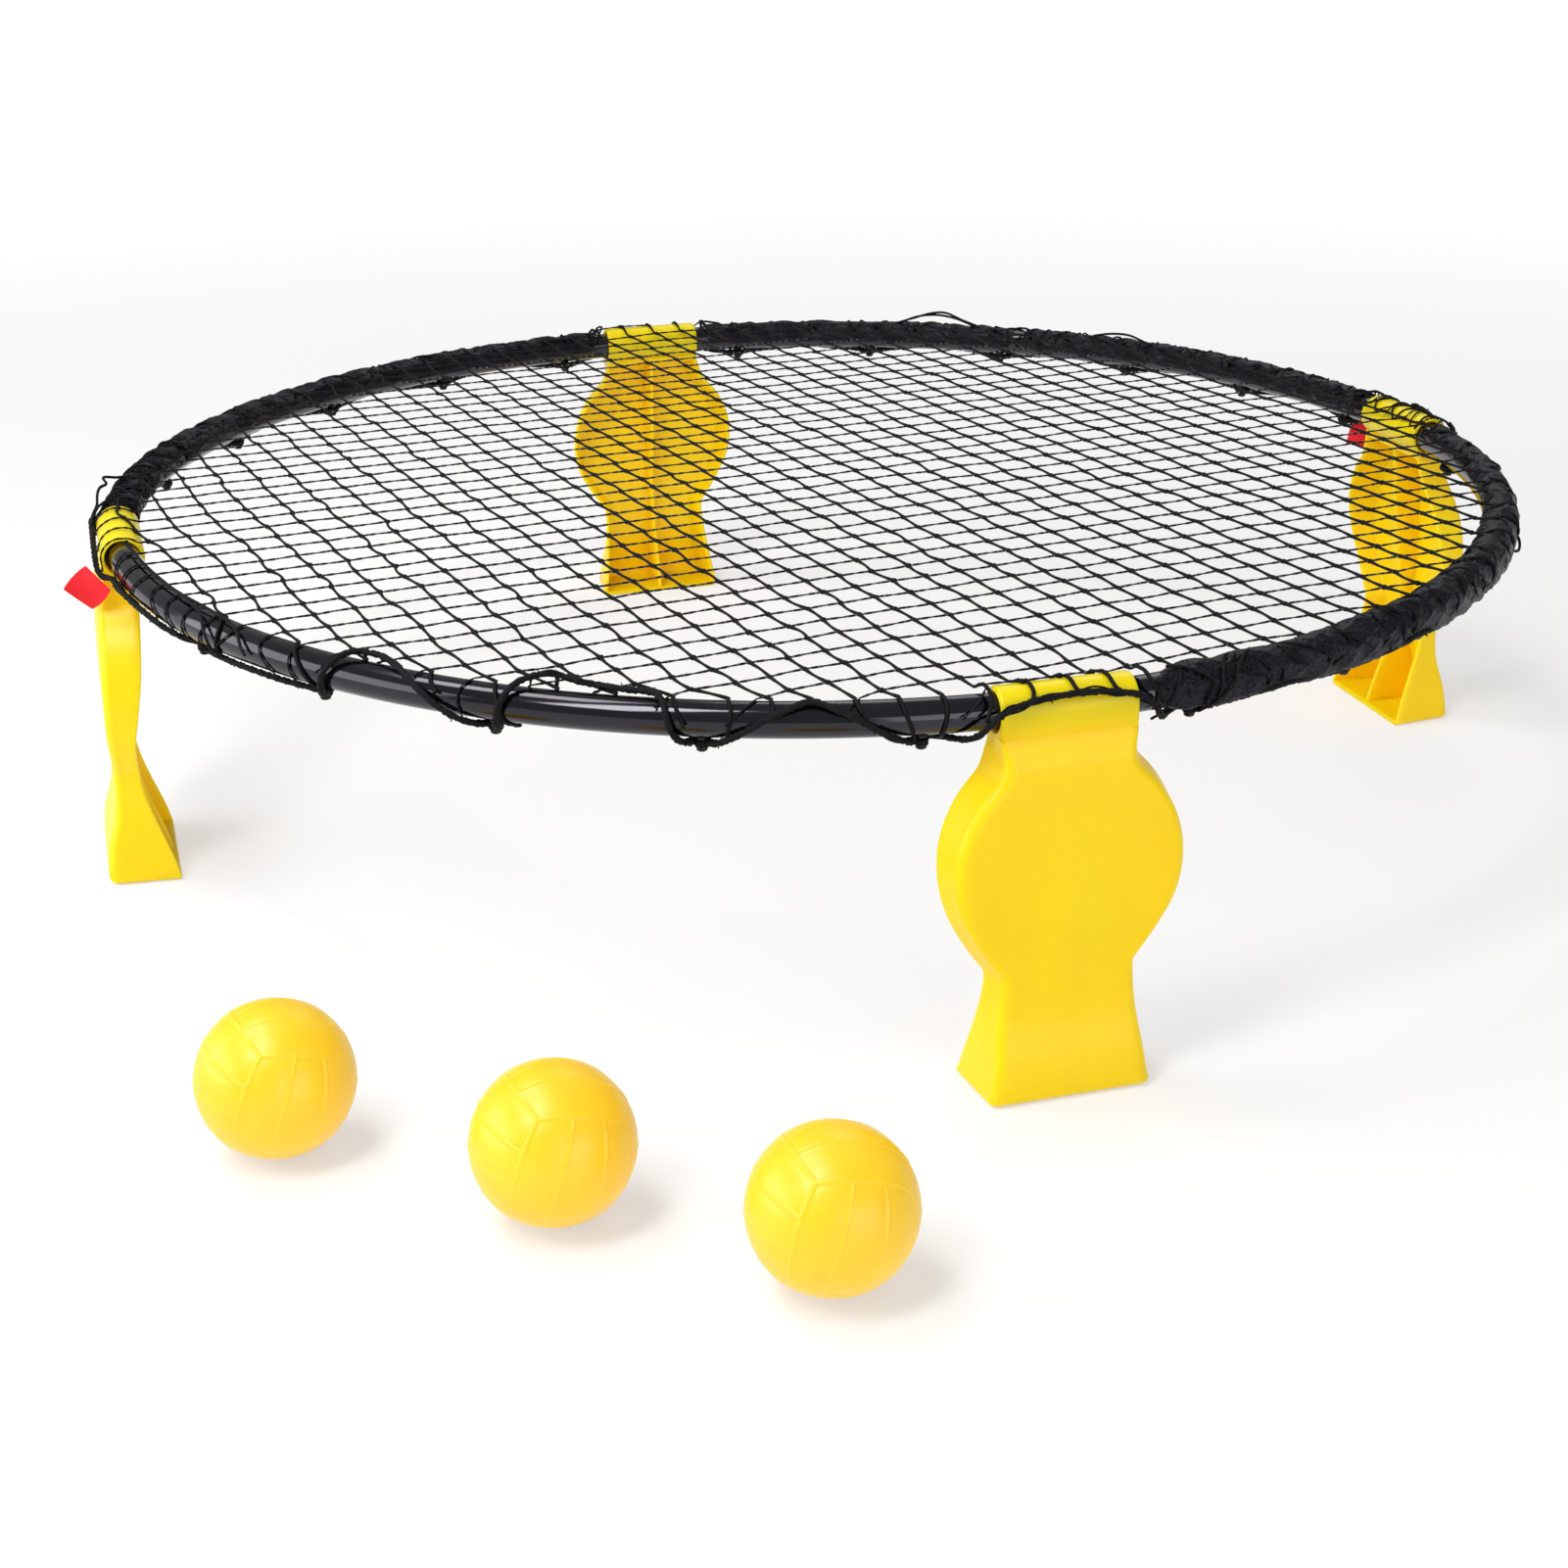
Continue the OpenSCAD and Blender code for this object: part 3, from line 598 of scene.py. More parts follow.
net = {
    "mesh": 22.2,                     # knot to knot
    "turn": (25.0, 114.0),            # bearing of each direction's normal
    "shift": (-3.1, -6.1),
    "cord": (0.98, 0.62),             # radius of each direction's cord
    "sides": 5,
    "level": 10.45,                   # cord's middle over the tube's
    "overSleeve": 14.6,
    "endCircle": 445.5,
    "lastKnot": 5,                    # knots stay this far inside the end circle
    "turnIn": 0.55,                   # how far a cord turns square to the rim at its end
    "slide": (24, 26),                # mm that an end so slides along the rim, for a slant of 1 and at most
    "pull": (0.8, 3),                 # least and most pull of an end, against that of a cord between knots
    "legPull": 13.0, "legWide": 62.0, "legDeep": 70.0,   # knots drawn out beside the legs
    # first direction's ends by the front, drawn along the rim: (bearing, mm), and degrees to fade in and out
    "drawn": [(205, 0), (220, 6), (235, 14), (250, 22), (261, 25), (264, 21), (267, 16), (272, 11), (280, 7),
              (286, 5.5), (292, 1), (300, 0)],
    "drawnFade": (10, 6),
    "jitter": 0.75,
    "bow": (0.75, 0.35),              # how far a cord bows aside between knots
    "samples": 6,                     # from knot to knot
    "wrapSteps": 14,                  # samples of a cord's end round the rim
    "gather": 0.35,                   # how far ends are drawn to the nearest peg
    "sheenWithin": (415, -30),         # the lay's painted sheen shows inside this circle only: radius, and y of its middle
    "knot": (2.0, 2.0, 1.4),          # its half sizes, flattest upward
    "seeds": (7, 3, 11),              # for the knots' places, the cords' bows and the knots' sizes
}


def lattice(s):
    # knots where the two directions cross, relaxed as cords under even tension between fixed ends:
    # every knot settles at the mean of its four neighbours
    rim = s["endCircle"]
    count = int(ring["radius"] / s["mesh"]) + 2
    index = np.arange(-count, count + 1)
    normals = [radial(t)[:2] for t in s["turn"]]
    d1, d2 = np.meshgrid(*(index * s["mesh"] + shift for shift in s["shift"]), indexing="ij")
    start = np.stack([d1, d2], -1) @ np.linalg.inv(np.stack(normals)).T
    inside = np.hypot(start[..., 0], start[..., 1]) < rim - s["lastKnot"]
    total = inside.sum()
    number = np.full(inside.shape, -1)
    number[inside] = np.arange(total)
    matrix = np.eye(total) * 4.0
    right = np.zeros((total, 2))
    ends = []
    for family in (0, 1):
        # cords of family 0 have fixed first index and run along the second, and the other way round
        along = np.array([-normals[family][1], normals[family][0]])
        axis = 1 - family
        grow = np.sign((start.take(1, axis) - start.take(0, axis)).reshape(-1, 2)[0] @ along)
        for step in (1, -1):
            beside = np.roll(number, -step, axis)
            have = inside & (beside >= 0)
            matrix[number[have], beside[have]] -= 1
            last = inside & (beside < 0)
            heading = along * grow * step
            p = start[last]
            reach = -(p @ heading) + np.sqrt((p @ heading) ** 2 - (p ** 2).sum(1) + rim ** 2)
            hit = p + reach[:, None] * heading
            bearing = np.degrees(np.arctan2(hit[:, 1], hit[:, 0]))
            out = radial(bearing)[:, :2]
            across = np.stack([-out[:, 1], out[:, 0]], -1)
            slant = (across @ heading) / np.maximum(out @ heading, 0.12)   # bounded where a cord grazes the rim
            slide = np.clip(slant * s["turnIn"] * s["slide"][0], -s["slide"][1], s["slide"][1])
            if family == 0:
                place = bearing % 360
                places, amounts = zip(*s["drawn"])
                rise, fall = s["drawnFade"]
                within = ease((place - places[0]) / rise) * ease((places[-1] - place) / fall)
                slide = slide * (1 - within) - np.interp(place, places, amounts) * within
            bearing = bearing - np.degrees(slide / rim)
            end = radial(bearing)[:, :2] * rim
            # an end pulls harder the shorter it is
            weight = np.clip(s["mesh"] / np.maximum(np.hypot(*(end - p).T), 4), *s["pull"])
            matrix[number[last], number[last]] += weight - 1
            right[number[last]] += end * weight[:, None]
            ends.append((family, step, number[last], bearing, np.clip(slant * (1 - s["turnIn"]), -0.8, 0.8)))
    settled = np.linalg.solve(matrix, right)
    # knots beside a leg are drawn out over its sleeve
    for bearing in legBearings:
        out = radial(bearing)[:2]
        deep = ring["radius"] - settled @ out
        wide = settled @ np.array([-out[1], out[0]])
        pull = s["legPull"] * np.exp(-(wide / s["legWide"]) ** 2) * ease(deep / 14) * \
            np.exp(-(deep / s["legDeep"]) ** 1.5)
        settled = settled + pull[:, None] * out
    settled = settled + np.random.default_rng(s["seeds"][0]).normal(0, s["jitter"], settled.shape)
    return number, settled, ends


def netHeight(flat, s):
    # height of a cord's middle over the ground: level with the tube's top, rising over a sleeve
    bearing = np.degrees(np.arctan2(flat[:, 1], flat[:, 0]))
    reach = s["level"] + (s["overSleeve"] - s["level"]) * fromLeg(bearing)[1]
    u = np.hypot(flat[:, 0], flat[:, 1]) - middleLine(bearing)
    rise = np.sqrt(np.maximum(reach ** 2 - u ** 2, 0))
    return ring["height"] + np.maximum(s["level"], rise)


def wrapPath(bearing, slant, s):
    # a cord's end, from the top of the rim round its outer side to the edge cord, drawn to a peg
    share = np.linspace(0, 1, s["wrapSteps"] + 1)[1:]
    turn = 90 - (90 - cordTurn(bearing)) * share   # 90 is the top of the tube
    walk = slant * s["level"] * np.radians(90 - turn)
    place = bearing + np.degrees(walk / ring["radius"])
    peg = pegBearings[np.argmin(np.abs(turnBetween(place[-1], pegBearings)))]
    place = place + turnBetween(place, peg) * s["gather"] * ease((60 - turn) / 120)
    point, normal = roundTube(place, turn, s["level"], s["overSleeve"])
    # over the last of it, out to the edge cord
    outer, _ = roundTube(place, turn, cordRun(place), edgeCord["sleeveRun"])
    return point + (outer - point) * ease((share - 0.85) / 0.15)[:, None], normal


def makeNet(s):
    number, knots, ends = lattice(s)
    rng = np.random.default_rng(s["seeds"][1])
    endOf = {}
    for family, step, which, bearing, slant in ends:
        for k, b, m in zip(which.tolist(), bearing.tolist(), slant.tolist()):
            endOf[family, step, k] = (b, m)
    for family, name, material in ((0, "net_cords_down", cordDark), (1, "net_cords_across", cordSheened)):
        parts = []
        for row in number if family == 0 else number.T:
            which = row[row >= 0]
            if len(which) < 2:
                continue
            first, last = endOf[family, -1, which[0]], endOf[family, 1, which[-1]]
            flat = np.concatenate([radial([first[0]])[:, :2] * s["endCircle"], knots[which],
                                   radial([last[0]])[:, :2] * s["endCircle"]])
            # a slight bow between knots, with samples enough for the cord's lay
            at = np.linspace(0, len(flat) - 1, (len(flat) - 1) * s["samples"] + 1)
            line = np.stack([np.interp(at, np.arange(len(flat)), flat[:, i]) for i in (0, 1)], -1)
            part = np.minimum(at.astype(int), len(flat) - 2)
            bow = rng.normal(0, s["bow"][family], len(flat) - 1)[part] * np.sin(np.pi * (at - part))
            way = (flat[1:] - flat[:-1])[part]
            line += bow[:, None] * np.stack([-way[:, 1], way[:, 0]], -1) / s["mesh"]
            head, headNormal = wrapPath(*first, s)
            tail, tailNormal = wrapPath(*last, s)
            path = np.concatenate([head[::-1], np.column_stack([line, netHeight(line, s)]), tail])
            normal = np.concatenate([headNormal[::-1], np.tile([0.0, 0.0, 1.0], (len(line), 1)), tailNormal])
            wrap = np.zeros(s["wrapSteps"])
            if family == 0:   # thicker by each knot
                thick = 1 + 0.18 * np.cos(2 * np.pi * np.r_[wrap, at % 1, wrap])
            else:             # lumpy all along
                thick = 0.95 + 0.3 * np.sin(np.arange(len(path)) * 2.1)
            points, faces, along = cordTube(path, normal, s["cord"][family] * thick, s["sides"])
            # painted sheen on the lay only inside that circle; the wraps round the rim stay plain dark
            sheenReach, middle = s["sheenWithin"]
            pale = np.r_[wrap, np.hypot(line[:, 0], line[:, 1] - middle) < sheenReach, wrap]
            parts.append((points, faces, along * np.r_[np.repeat(pale, s["sides"]), 0, 0]))
        makePiece(name, parts, material, "frame", ("net", "net_border"))

    # knots: a small ball at each crossing, each of its own size and turn
    steps, sides = 5, 6
    polar, turn = np.linspace(0, np.pi, steps)[1:-1, None], spokes(sides)
    ball = np.stack([np.sin(polar) * np.cos(turn), np.sin(polar) * np.sin(turn), np.cos(polar) + 0 * turn], -1)
    ball = np.concatenate([ball.reshape(-1, 3), [[0, 0, 1], [0, 0, -1]]]) * s["knot"]
    quads = gridQuads(steps - 2, sides, False, True)[:, ::-1]
    caps = np.concatenate([fan(0, sides, len(ball) - 2), fan((steps - 3) * sides, sides, len(ball) - 1, True)])
    rng = np.random.default_rng(s["seeds"][2])
    lumps = ball[None] * rng.uniform(0.8, 1.2, (len(knots), 1, 3))
    spin = rng.uniform(0, np.pi, len(knots))
    c, n = np.cos(spin)[:, None], np.sin(spin)[:, None]
    x, y, z = lumps[..., 0], lumps[..., 1], lumps[..., 2]
    points = np.stack([x * c - y * n, x * n + y * c, z], -1)
    points = np.column_stack([knots, netHeight(knots, s)])[:, None] + points
    start = np.arange(len(knots))[:, None, None] * len(ball)
    faces = [(quads[None] + start).reshape(-1, 4), (caps[None] + start).reshape(-1, 3)]
    makePiece("net_knots", [(points, faces)], cordDark, "frame", ("net",))
    print("net:", len(knots), "knots")


makeNet(net)


# net margin lashed round the rim

margin = {
    # spare margin of the net, bunched round the tube: first and last bearing, spacing in mm, layers, top turn,
    # how much farther out it lies, and whether it runs over a leg's sleeve
    "runs": [(-66, -47, 30, 1, 122, 1.0, False), (-47, 10.5, 28, 1, 160, 1.0, False),
             (10.6, 22.2, 16, 1, 150, 0.0, True), (22, 66, 13, 1, 190, 0.9, False),
             (66, 101.8, 17, 1, 190, 0.6, False), (111.2, 170, 17, 1, 190, 0.6, False),
             (170, 191.6, 12, 2, 190, 0.4, False)],
    "spacedAt": 455,         # radius of the circle along which the spacing is measured
    "lean": 0.72,            # walk along the rim for each length round it
    "layer": 1.15,           # each layer lies this much farther out
    "radius": 0.78, "looseRadius": 0.95,
    "uneven": 0.12,          # how far its places stray, in degrees
    "thick": (0.85, 1.2),    # how far its radius strays
    "bottom": -56,
    "overSleeve": 3.6,       # how much farther out it lies over a sleeve
    "clear": (6.0, 4.9),     # degrees that it keeps from a leg that folds, on the inner side and on the outer
    # folds so tight that nothing shows through: (first bearing, last bearing, top turn), lines per degree,
    # columns, and the cells the net is drawn to, in mm along the rim and round it
    "folds": {"net_folds_right": ([(-67.5, 11.4, 170), (21.4, 66, 205)], 6.5, 64, (11.0, 6.0)),
              "net_folds_back": ([(66, 101.2, 205), (111.6, 191.0, 205)], 5.5, 60, (46.0, 5.0))},
    "foldRise": (0.9, 2.2),      # fine ridges, slow folds
    "foldsAt": (450, 11),        # radii that turn degrees into mm along the rim and round it
    "reach": 2.0,                # the folds stand off the tube's underside, out to the edge cord
    # single cords that stand off the rim: (bearing, turn, distance from the tube's middle)
    "loose": [[(190.6, 10, 12.5), (189.4, 30, 16), (187.8, 50, 21), (187, 62, 20), (186.2, 60, 23.5),
               (184.8, 72, 18), (182, 84, 12)],
              [(80, 104, 11.5), (78, 98, 16), (76, 94, 20.5), (74.4, 93, 21), (72.6, 97, 16),
               (70.6, 104, 11.5)],
              [(79.4, 98, 12), (77.4, 94, 17.5), (75.4, 92, 19), (73.4, 95, 17), (71.4, 100, 12)],
              [(58, 95, 12), (56, 92, 15), (54, 92, 15.5), (52, 98, 12)],
              [(3.6, 18, 10.6), (1.6, 10, 15.6), (0.2, 6, 17), (-1.6, 0, 10.6)],
              [(-15.6, -22, 10.6), (-17, -30, 15.5), (-18.6, -36, 16.5), (-20.4, -32, 10.6)],
              [(202.6, 100, 12), (206, 98, 12.6), (212, 93, 12), (217, 86, 12.6), (221, 66, 12), (223, 20, 12),
               (224, -40, 12)],
              [(202.8, 92, 12.4), (205.4, 100, 12), (211, 97, 12.4), (216, 92, 12), (222, 84, 12.4),
               (226, 60, 12), (228, 0, 12)],
              [(299, 100, 12), (298, 70, 13), (297.4, 30, 13.4), (297, -20, 13.4), (296.4, -70, 13),
               (296, -100, 13)],
              [(294, 96, 12), (295.4, 60, 13), (296.6, 20, 13.6), (296.2, -30, 14), (297.2, -70, 13.4),
               (295.6, -104, 13)],
              [(301, 104, 12), (299, 50, 13), (298, 0, 14), (296, -50, 14.4), (296.8, -96, 13)]],
    "seed": 23,
}


def makeMargin(s):
    # cords slant round the tube both ways, each wandering a little and lifted off the tube between its ends
    rng = np.random.default_rng(s["seed"])
    parts = []
    for first, last, spacing, layers, top, over, onSleeve in s["runs"]:
        count = int(np.radians(last - first) * s["spacedAt"] / spacing)
        steps = 15 if top < 150 else 18
        turn = np.linspace(top, s["bottom"], steps)
        swell = np.sin(np.pi * np.linspace(0, 1, steps)) ** 0.5
        for layer, way in [(layer, way) for layer in range(layers) for way in (1, -1)]:
            starts = np.linspace(first, last, count) + (layer * 0.37 + (way > 0) * 0.5) * spacing / 8
            walk = way * s["lean"] * np.radians(40 - turn) * 10
            for bearing in starts + rng.normal(0, s["uneven"], count):
                drift = 0.55 * np.sin(bearing * 1.7 + turn / 31 + layer * 2) + \
                    0.3 * np.sin(bearing * 4.1 - turn / 19 + layer)
                place = bearing + np.degrees(walk / ring["radius"]) + drift
                lift = ring["tube"] + s["radius"] * 0.8 + swell * (
                    0.4 + over + s["layer"] * layer + 0.5 * (way > 0) + 0.6 * np.sin(bearing * 2.3 + turn / 23))
                point, normal = roundTube(place, turn, lift, lift + s["overSleeve"])
                keep = (np.abs(fromLeg(place)[0]) > np.where(turn > 90, *s["clear"])) | onSleeve
                if keep.sum() > 4:
                    parts.append(cordTube(point[keep], normal[keep], s["radius"] * rng.uniform(*s["thick"]), 4))
    for line in s["loose"]:
        bearing, turn, run = smoothLine(line, 40).T
        point, normal = roundTube(bearing, turn, run, run + s["overSleeve"])
        parts.append(cordTube(point, normal, s["looseRadius"], 6))
    makePiece("net_margin", parts, cordDark, "frame", ("net_border",))
    print("margin:", len(parts), "cords")


def makeFolds(name, spans, density, cols, cell, s):
    # a sleeve over the tube, its distance a sum of slow waves and of fine slanting ridges (1 - |sin|)^2,
    # one set each way; it runs on inside the tube's wall on the far side and at its ends
    folds = []
    bottom = s["bottom"]
    for first, last, top in spans:
        rows = int((last - first) * density)
        turns = np.r_[np.linspace(top + 4, bottom - 2, cols), np.linspace(bottom - 30, top + 30 - 360, 4)]
        b, t = np.meshgrid(np.linspace(first, last, rows), turns, indexing="ij")
        along, about = np.radians(b) * s["foldsAt"][0], np.radians(t) * s["foldsAt"][1]
        sway = 0.35 * np.sin(along / 13 + t / 37) + 0.25 * np.sin(along / 29 - t / 23)
        one, other = along / cell[0] + about / cell[1] + sway, along / cell[0] - about / cell[1] + sway
        ridge = (1 - np.minimum(np.abs(np.sin(np.pi / 2 * one)), np.abs(np.sin(np.pi / 2 * other)))) ** 2
        slow = 0.6 + 0.35 * np.sin(along / 9.5 + 1.5 * np.sin(t / 40)) * np.sin(along / 23 + t / 60) + \
            0.35 * np.sin(along / 4.1 + about / 5 + 2 * np.sin(along / 31)) * np.sin(along / 37 + t / 50)
        inner = ease((b - first) / 3) * ease((last - b) / 1.6)
        edge = inner * ease((t - bottom + 2) / 16) * ease((top + 4 - t) / 22)
        under = s["reach"] * inner * ease((-12 - t) / 30) * ease((t - bottom + 8) / 8)
        lift = ring["tube"] - 0.5 + edge * (0.9 + s["foldRise"][0] * ridge + s["foldRise"][1] * slow) + under
        point, _ = roundTube(b.ravel(), t.ravel(), lift.ravel(), lift.ravel())
        ends, _ = roundTube(np.array([first, last]), np.zeros(2), np.zeros(2), np.zeros(2))
        folds.append((np.concatenate([point, ends]), cappedTube(rows, len(turns))))
    makePiece(name, folds, foldedNet, "frame")


makeMargin(margin)
for name, folds in margin["folds"].items():
    makeFolds(name, *folds, margin)

makeEdgeCord(edgeCord)


# hook pegs

peg = {
    # height from the tube's underside, and radius: root in the tube, collar under it, plain shank,
    # swollen tip that keeps the cord on
    "profile": [(2.0, 2.4), (0.3, 2.4), (0.3, 3.3), (-1.1, 3.3), (-1.5, 2.15), (-4.8, 2.15), (-6.0, 2.9),
                (-7.1, 2.9), (-7.75, 2.088), (-8.0, 0.01)],
    "sides": 20,
    "loop": 0.9, "loops": 3,         # turns of net cord drawn round the shank: its radius, how many
    "loopRadius": 3.05, "loopFrom": -1.9,
}


def makePegs(s):
    top = ring["height"] - ring["tube"]
    height, radius = np.array(s["profile"]).T
    upright = np.eye(3)[[2, 0, 1]]   # axis, side and up of a peg
    faces = [gridQuads(len(height), s["sides"], False, True)[:, ::-1], [list(range(s["sides"]))]]
    t = np.linspace(0, 2 * np.pi * s["loops"], 26 * s["loops"])
    away = np.stack([np.cos(t), np.sin(t), 0 * t], -1)
    drop = np.stack([0 * t, 0 * t, top + s["loopFrom"] - 0.55 * s["loop"] * t / np.pi], -1)
    for quarter in range(4):
        centres = radial(pegBearings[quarter * ring["pegs"]:(quarter + 1) * ring["pegs"]]) * ring["radius"]
        pegs = [(lathe(centre, *upright, radius, top + height, s["sides"]), faces) for centre in centres]
        makePiece(f"peg_row_{quarter + 1}", pegs, nylon, "frame",
                  (f"hook_pegs_{quarter + 1}",), sharp=38)
        loops = [cordTube(centre + s["loopRadius"] * away + drop, away, s["loop"], 6) for centre in centres]
        makePiece(f"peg_lashing_{quarter + 1}", loops, cordDark, "frame")
    print("pegs are made")


makePegs(peg)


# legs

leg = {
    "wall": 3.0,
    "neck": 73.0, "disc": 128.0, "discAt": 129.0,
    "waist": 76.5, "waistAt": 73.0,
    "foot": 93.0, "footRound": 5.0, "flare": 1.6,
    # the outer face and the open inner side, as (height, distance out from the ring) up the middle
    "outer": [(0, 31.4), (12, 30.8), (25, 28.7), (35, 25.6), (45, 22.9), (55, 21.8), (65, 21.4), (76, 21.2),
              (88, 21.6), (100, 22.3), (116, 22.2), (150, 20.8), (176, 18.9), (188, 17.5), (193, 15.6),
              (198, 13.6), (201.35, 12.847)],
    "inner": [(0, -14), (15, -10.4), (25, -7.2), (35, -3.8), (45, -0.6), (55, 2.2), (65, 4.0), (76, 5.0),
              (88, 5.6), (98, 5.4), (106, 4.2), (116, 2.4), (127, 0.4), (147, -3.0), (180, -6.6), (212.7, -10)],
    "draft": (0.4, -3.4),    # sides drawn in at the face and let out at the open side
    "crown": 201.35, "hollowTop": 196.35,
    "shoulder": (186, 15),   # height from which the neck grows into the sleeve, and over how much
    "edge": 6.0,             # rounding of the outer edge
    "fillet": 11.0,          # softness of the inner corners by the neck and the waist
    "sleeveLength": 75.0, "sleeveBore": 11.05, "sleeveEdge": 2.0,
    "ribTop": 198.5,
}


def reachAt(points, z):
    # reads a smooth curve drawn through (height, distance) points
    line = smoothLine(points, 240)
    return np.interp(z, line[:, 0], line[:, 1])


def legReach(angle, inset, crown, s, draft=0.0):
    # front outline, as distance from the disc's middle at an angle from straight up, drawn in by inset all
    # round and by draft at the sides: the larger of disc, neck and foot, blended where they differ by less
    # than k, max(a, b) + (1 - |a - b| / k)^2 k / 4
    y, z = np.abs(np.sin(angle)), np.cos(angle)
    narrow = inset + draft
    disc = s["disc"] / 2 - narrow
    top = (crown - s["discAt"]) / np.maximum(z, 1e-6)
    bottom = (s["discAt"] - inset) / np.maximum(-z, 1e-6)
    neck = (s["neck"] / 2 - narrow) / np.maximum(y, 1e-6)
    for _ in range(4):   # by the crown the neck is as wide as the sleeve
        level = s["discAt"] + np.minimum(neck, top) * z
        grown = ease((level - s["shoulder"][0]) / s["shoulder"][1])
        wide = (s["neck"] / 2 - draft) + (s["sleeveLength"] / 2 - s["neck"] / 2 + draft) * grown
        neck = (wide - inset) / np.maximum(y, 1e-6)
    # foot: its flared edge and round corner, read off at each angle
    level = np.linspace(s["waistAt"], s["footRound"], 60)
    half = s["waist"] / 2 + (s["foot"] - s["waist"]) / 2 * (1 - level / s["waistAt"]) ** s["flare"] - narrow
    bend = np.radians(np.linspace(0, -90, 16))[1:]
    corner = max(s["footRound"] - inset, 0.4)
    middle = s["foot"] / 2 - narrow - corner
    half = np.r_[s["waist"] / 2 - narrow, half, middle + corner * np.cos(bend)]
    level = np.r_[s["discAt"], level, inset + corner + corner * np.sin(bend)] - s["discAt"]
    edgeAngle, edgeReach = np.arctan2(half, level), np.hypot(half, level)
    away = np.minimum(angle, 2 * np.pi - angle)
    foot = np.where(away > edgeAngle[-1], bottom, np.interp(away, edgeAngle, edgeReach))
    other = np.where(z > 0, neck, foot)
    soft = np.maximum(s["fillet"] - np.abs(disc - other), 0) / s["fillet"]
    reach = np.maximum(disc, other) + soft ** 2 * s["fillet"] / 4
    return np.minimum(reach, np.where(z > 0, top, bottom))


def makeLegShell(s):
    # a tray: rings of the front outline, shrunk over the face, rounded over the edge,
    # down the side to the open inner edge, round it, and back up inside
    fine = np.linspace(0, 2 * np.pi, 4000)
    reach = legReach(fine, 0, s["crown"], s)
    length = np.r_[0, np.cumsum(np.hypot(np.diff(reach * np.sin(fine)), np.diff(reach * np.cos(fine))))]
    corner = math.atan2(s["sleeveLength"] / 2, s["crown"] - s["discAt"])
    angle = np.interp(np.linspace(0, length[-1], 280, endpoint=False), length, fine)
    angle = np.unique(np.r_[angle, corner, 2 * np.pi - corner])
    rings = []

    def tight(z):
        # the rounding fades to the sleeve's own by the crown
        return 1 - (1 - s["sleeveEdge"] / s["edge"]) * ease((z - s["shoulder"][0]) / s["shoulder"][1])

    def addRing(inset, share, crown, x, draft, rounded=False):
        r = legReach(angle, inset, crown, s, draft)
        if rounded:
            plain = legReach(angle, 0, crown, s, draft)
            r = plain + (r - plain) * tight(s["discAt"] + r * np.cos(angle))
        r = r * share
        z = s["discAt"] + r * np.cos(angle)
        rings.append(np.column_stack([x(z), r * np.sin(angle), z]))

    e, w, crown, hollow = s["edge"], s["wall"], s["crown"], s["hollowTop"]
    front, back = s["draft"]
    inside = 2.0   # rounding of the hollow's corner, inside the wall
    face = lambda z: reachAt(s["outer"], z)
    inner = lambda z: reachAt(s["inner"], z)
    for share in np.linspace(0, 1, 27)[1:-1] ** 0.8:
        addRing(e, share, crown, face, front, True)
    for a in np.radians(np.linspace(0, 90, 10)):
        addRing(e * (1 - np.sin(a)), 1, crown, lambda z: face(z) - e * (1 - np.cos(a)) * tight(z), front, True)
    for t in np.linspace(0, 1, 7)[1:]:
        addRing(0, 1, crown, lambda z: face(z) - e * tight(z) + (inner(z) + w / 2 - face(z) + e * tight(z)) * t,
                front + (back - front) * t)
    for a in np.radians(np.linspace(0, 180, 9))[1:]:
        share = (1 - np.cos(a)) / 2
        addRing(w * share, 1, crown + (hollow - crown) * share,
                lambda z: inner(z) + w / 2 - w / 2 * np.sin(a), back)
    for t in np.linspace(0, 1, 6)[1:]:
        addRing(w, 1, hollow, lambda z: inner(z) + w / 2 + (face(z) - w - inside - inner(z) - w / 2) * t,
                back + (front - back) * t)
    for a in np.radians(np.linspace(0, 90, 5))[1:]:
        addRing(w + inside * (1 - np.cos(a)), 1, hollow,
                lambda z: face(z) - w - inside + inside * np.sin(a), front)
    for share in np.linspace(1, 0, 14)[1:-1]:
        addRing(w + inside, share, hollow, lambda z: face(z) - w, front)
    count, total = len(angle), len(rings) * len(angle)
    middle = float(face(np.array(s["discAt"])))
    points = np.concatenate(rings + [[[middle, 0, s["discAt"]], [middle - w, 0, s["discAt"]]]])
    return points, [gridQuads(len(rings), count, False, True), fan(0, count, total, True),
                    fan(total - count, count, total + 1)]


def makeSleeve(s):
    # the hinge sleeve: outline drawn round the bore, carried along the hinge, edges eased at both ends
    count = 96
    a = spokes(count)
    r = ring["sleeve"]
    outer = np.stack([r * np.cos(a), r * np.sin(a)], -1)
    # below the outer side the wall drops straight down to meet the face of the leg
    drop = s["crown"] - ring["height"]
    low = (outer[:, 0] > 0) & (outer[:, 1] < 0) & (outer[:, 1] > drop - 0.3)
    outer[low, 0] = r
    outer[:, 1] = np.where(low, np.maximum(outer[:, 1], drop), outer[:, 1])
    bore = s["sleeveBore"] * np.stack([np.cos(a), np.sin(a)], -1)
    half, edge = s["sleeveLength"] / 2, s["sleeveEdge"]
    rings = []
    for side in (-1, 1):
        for b in np.radians(np.linspace(90, 0, 6) if side < 0 else np.linspace(0, 90, 6)):
            rings.append((outer * (1 - edge / r * (1 - np.cos(b))), side * (half - edge + edge * np.sin(b))))
    for side in (1, -1):
        rings.append((bore, side * (half - 0.05)))
    stack = [np.column_stack([flat[:, 0] + ring["hinge"], np.full(count, y), flat[:, 1] + ring["height"]])
             for flat, y in rings]
    return np.concatenate(stack), [gridQuads(len(rings), count, True, True)]


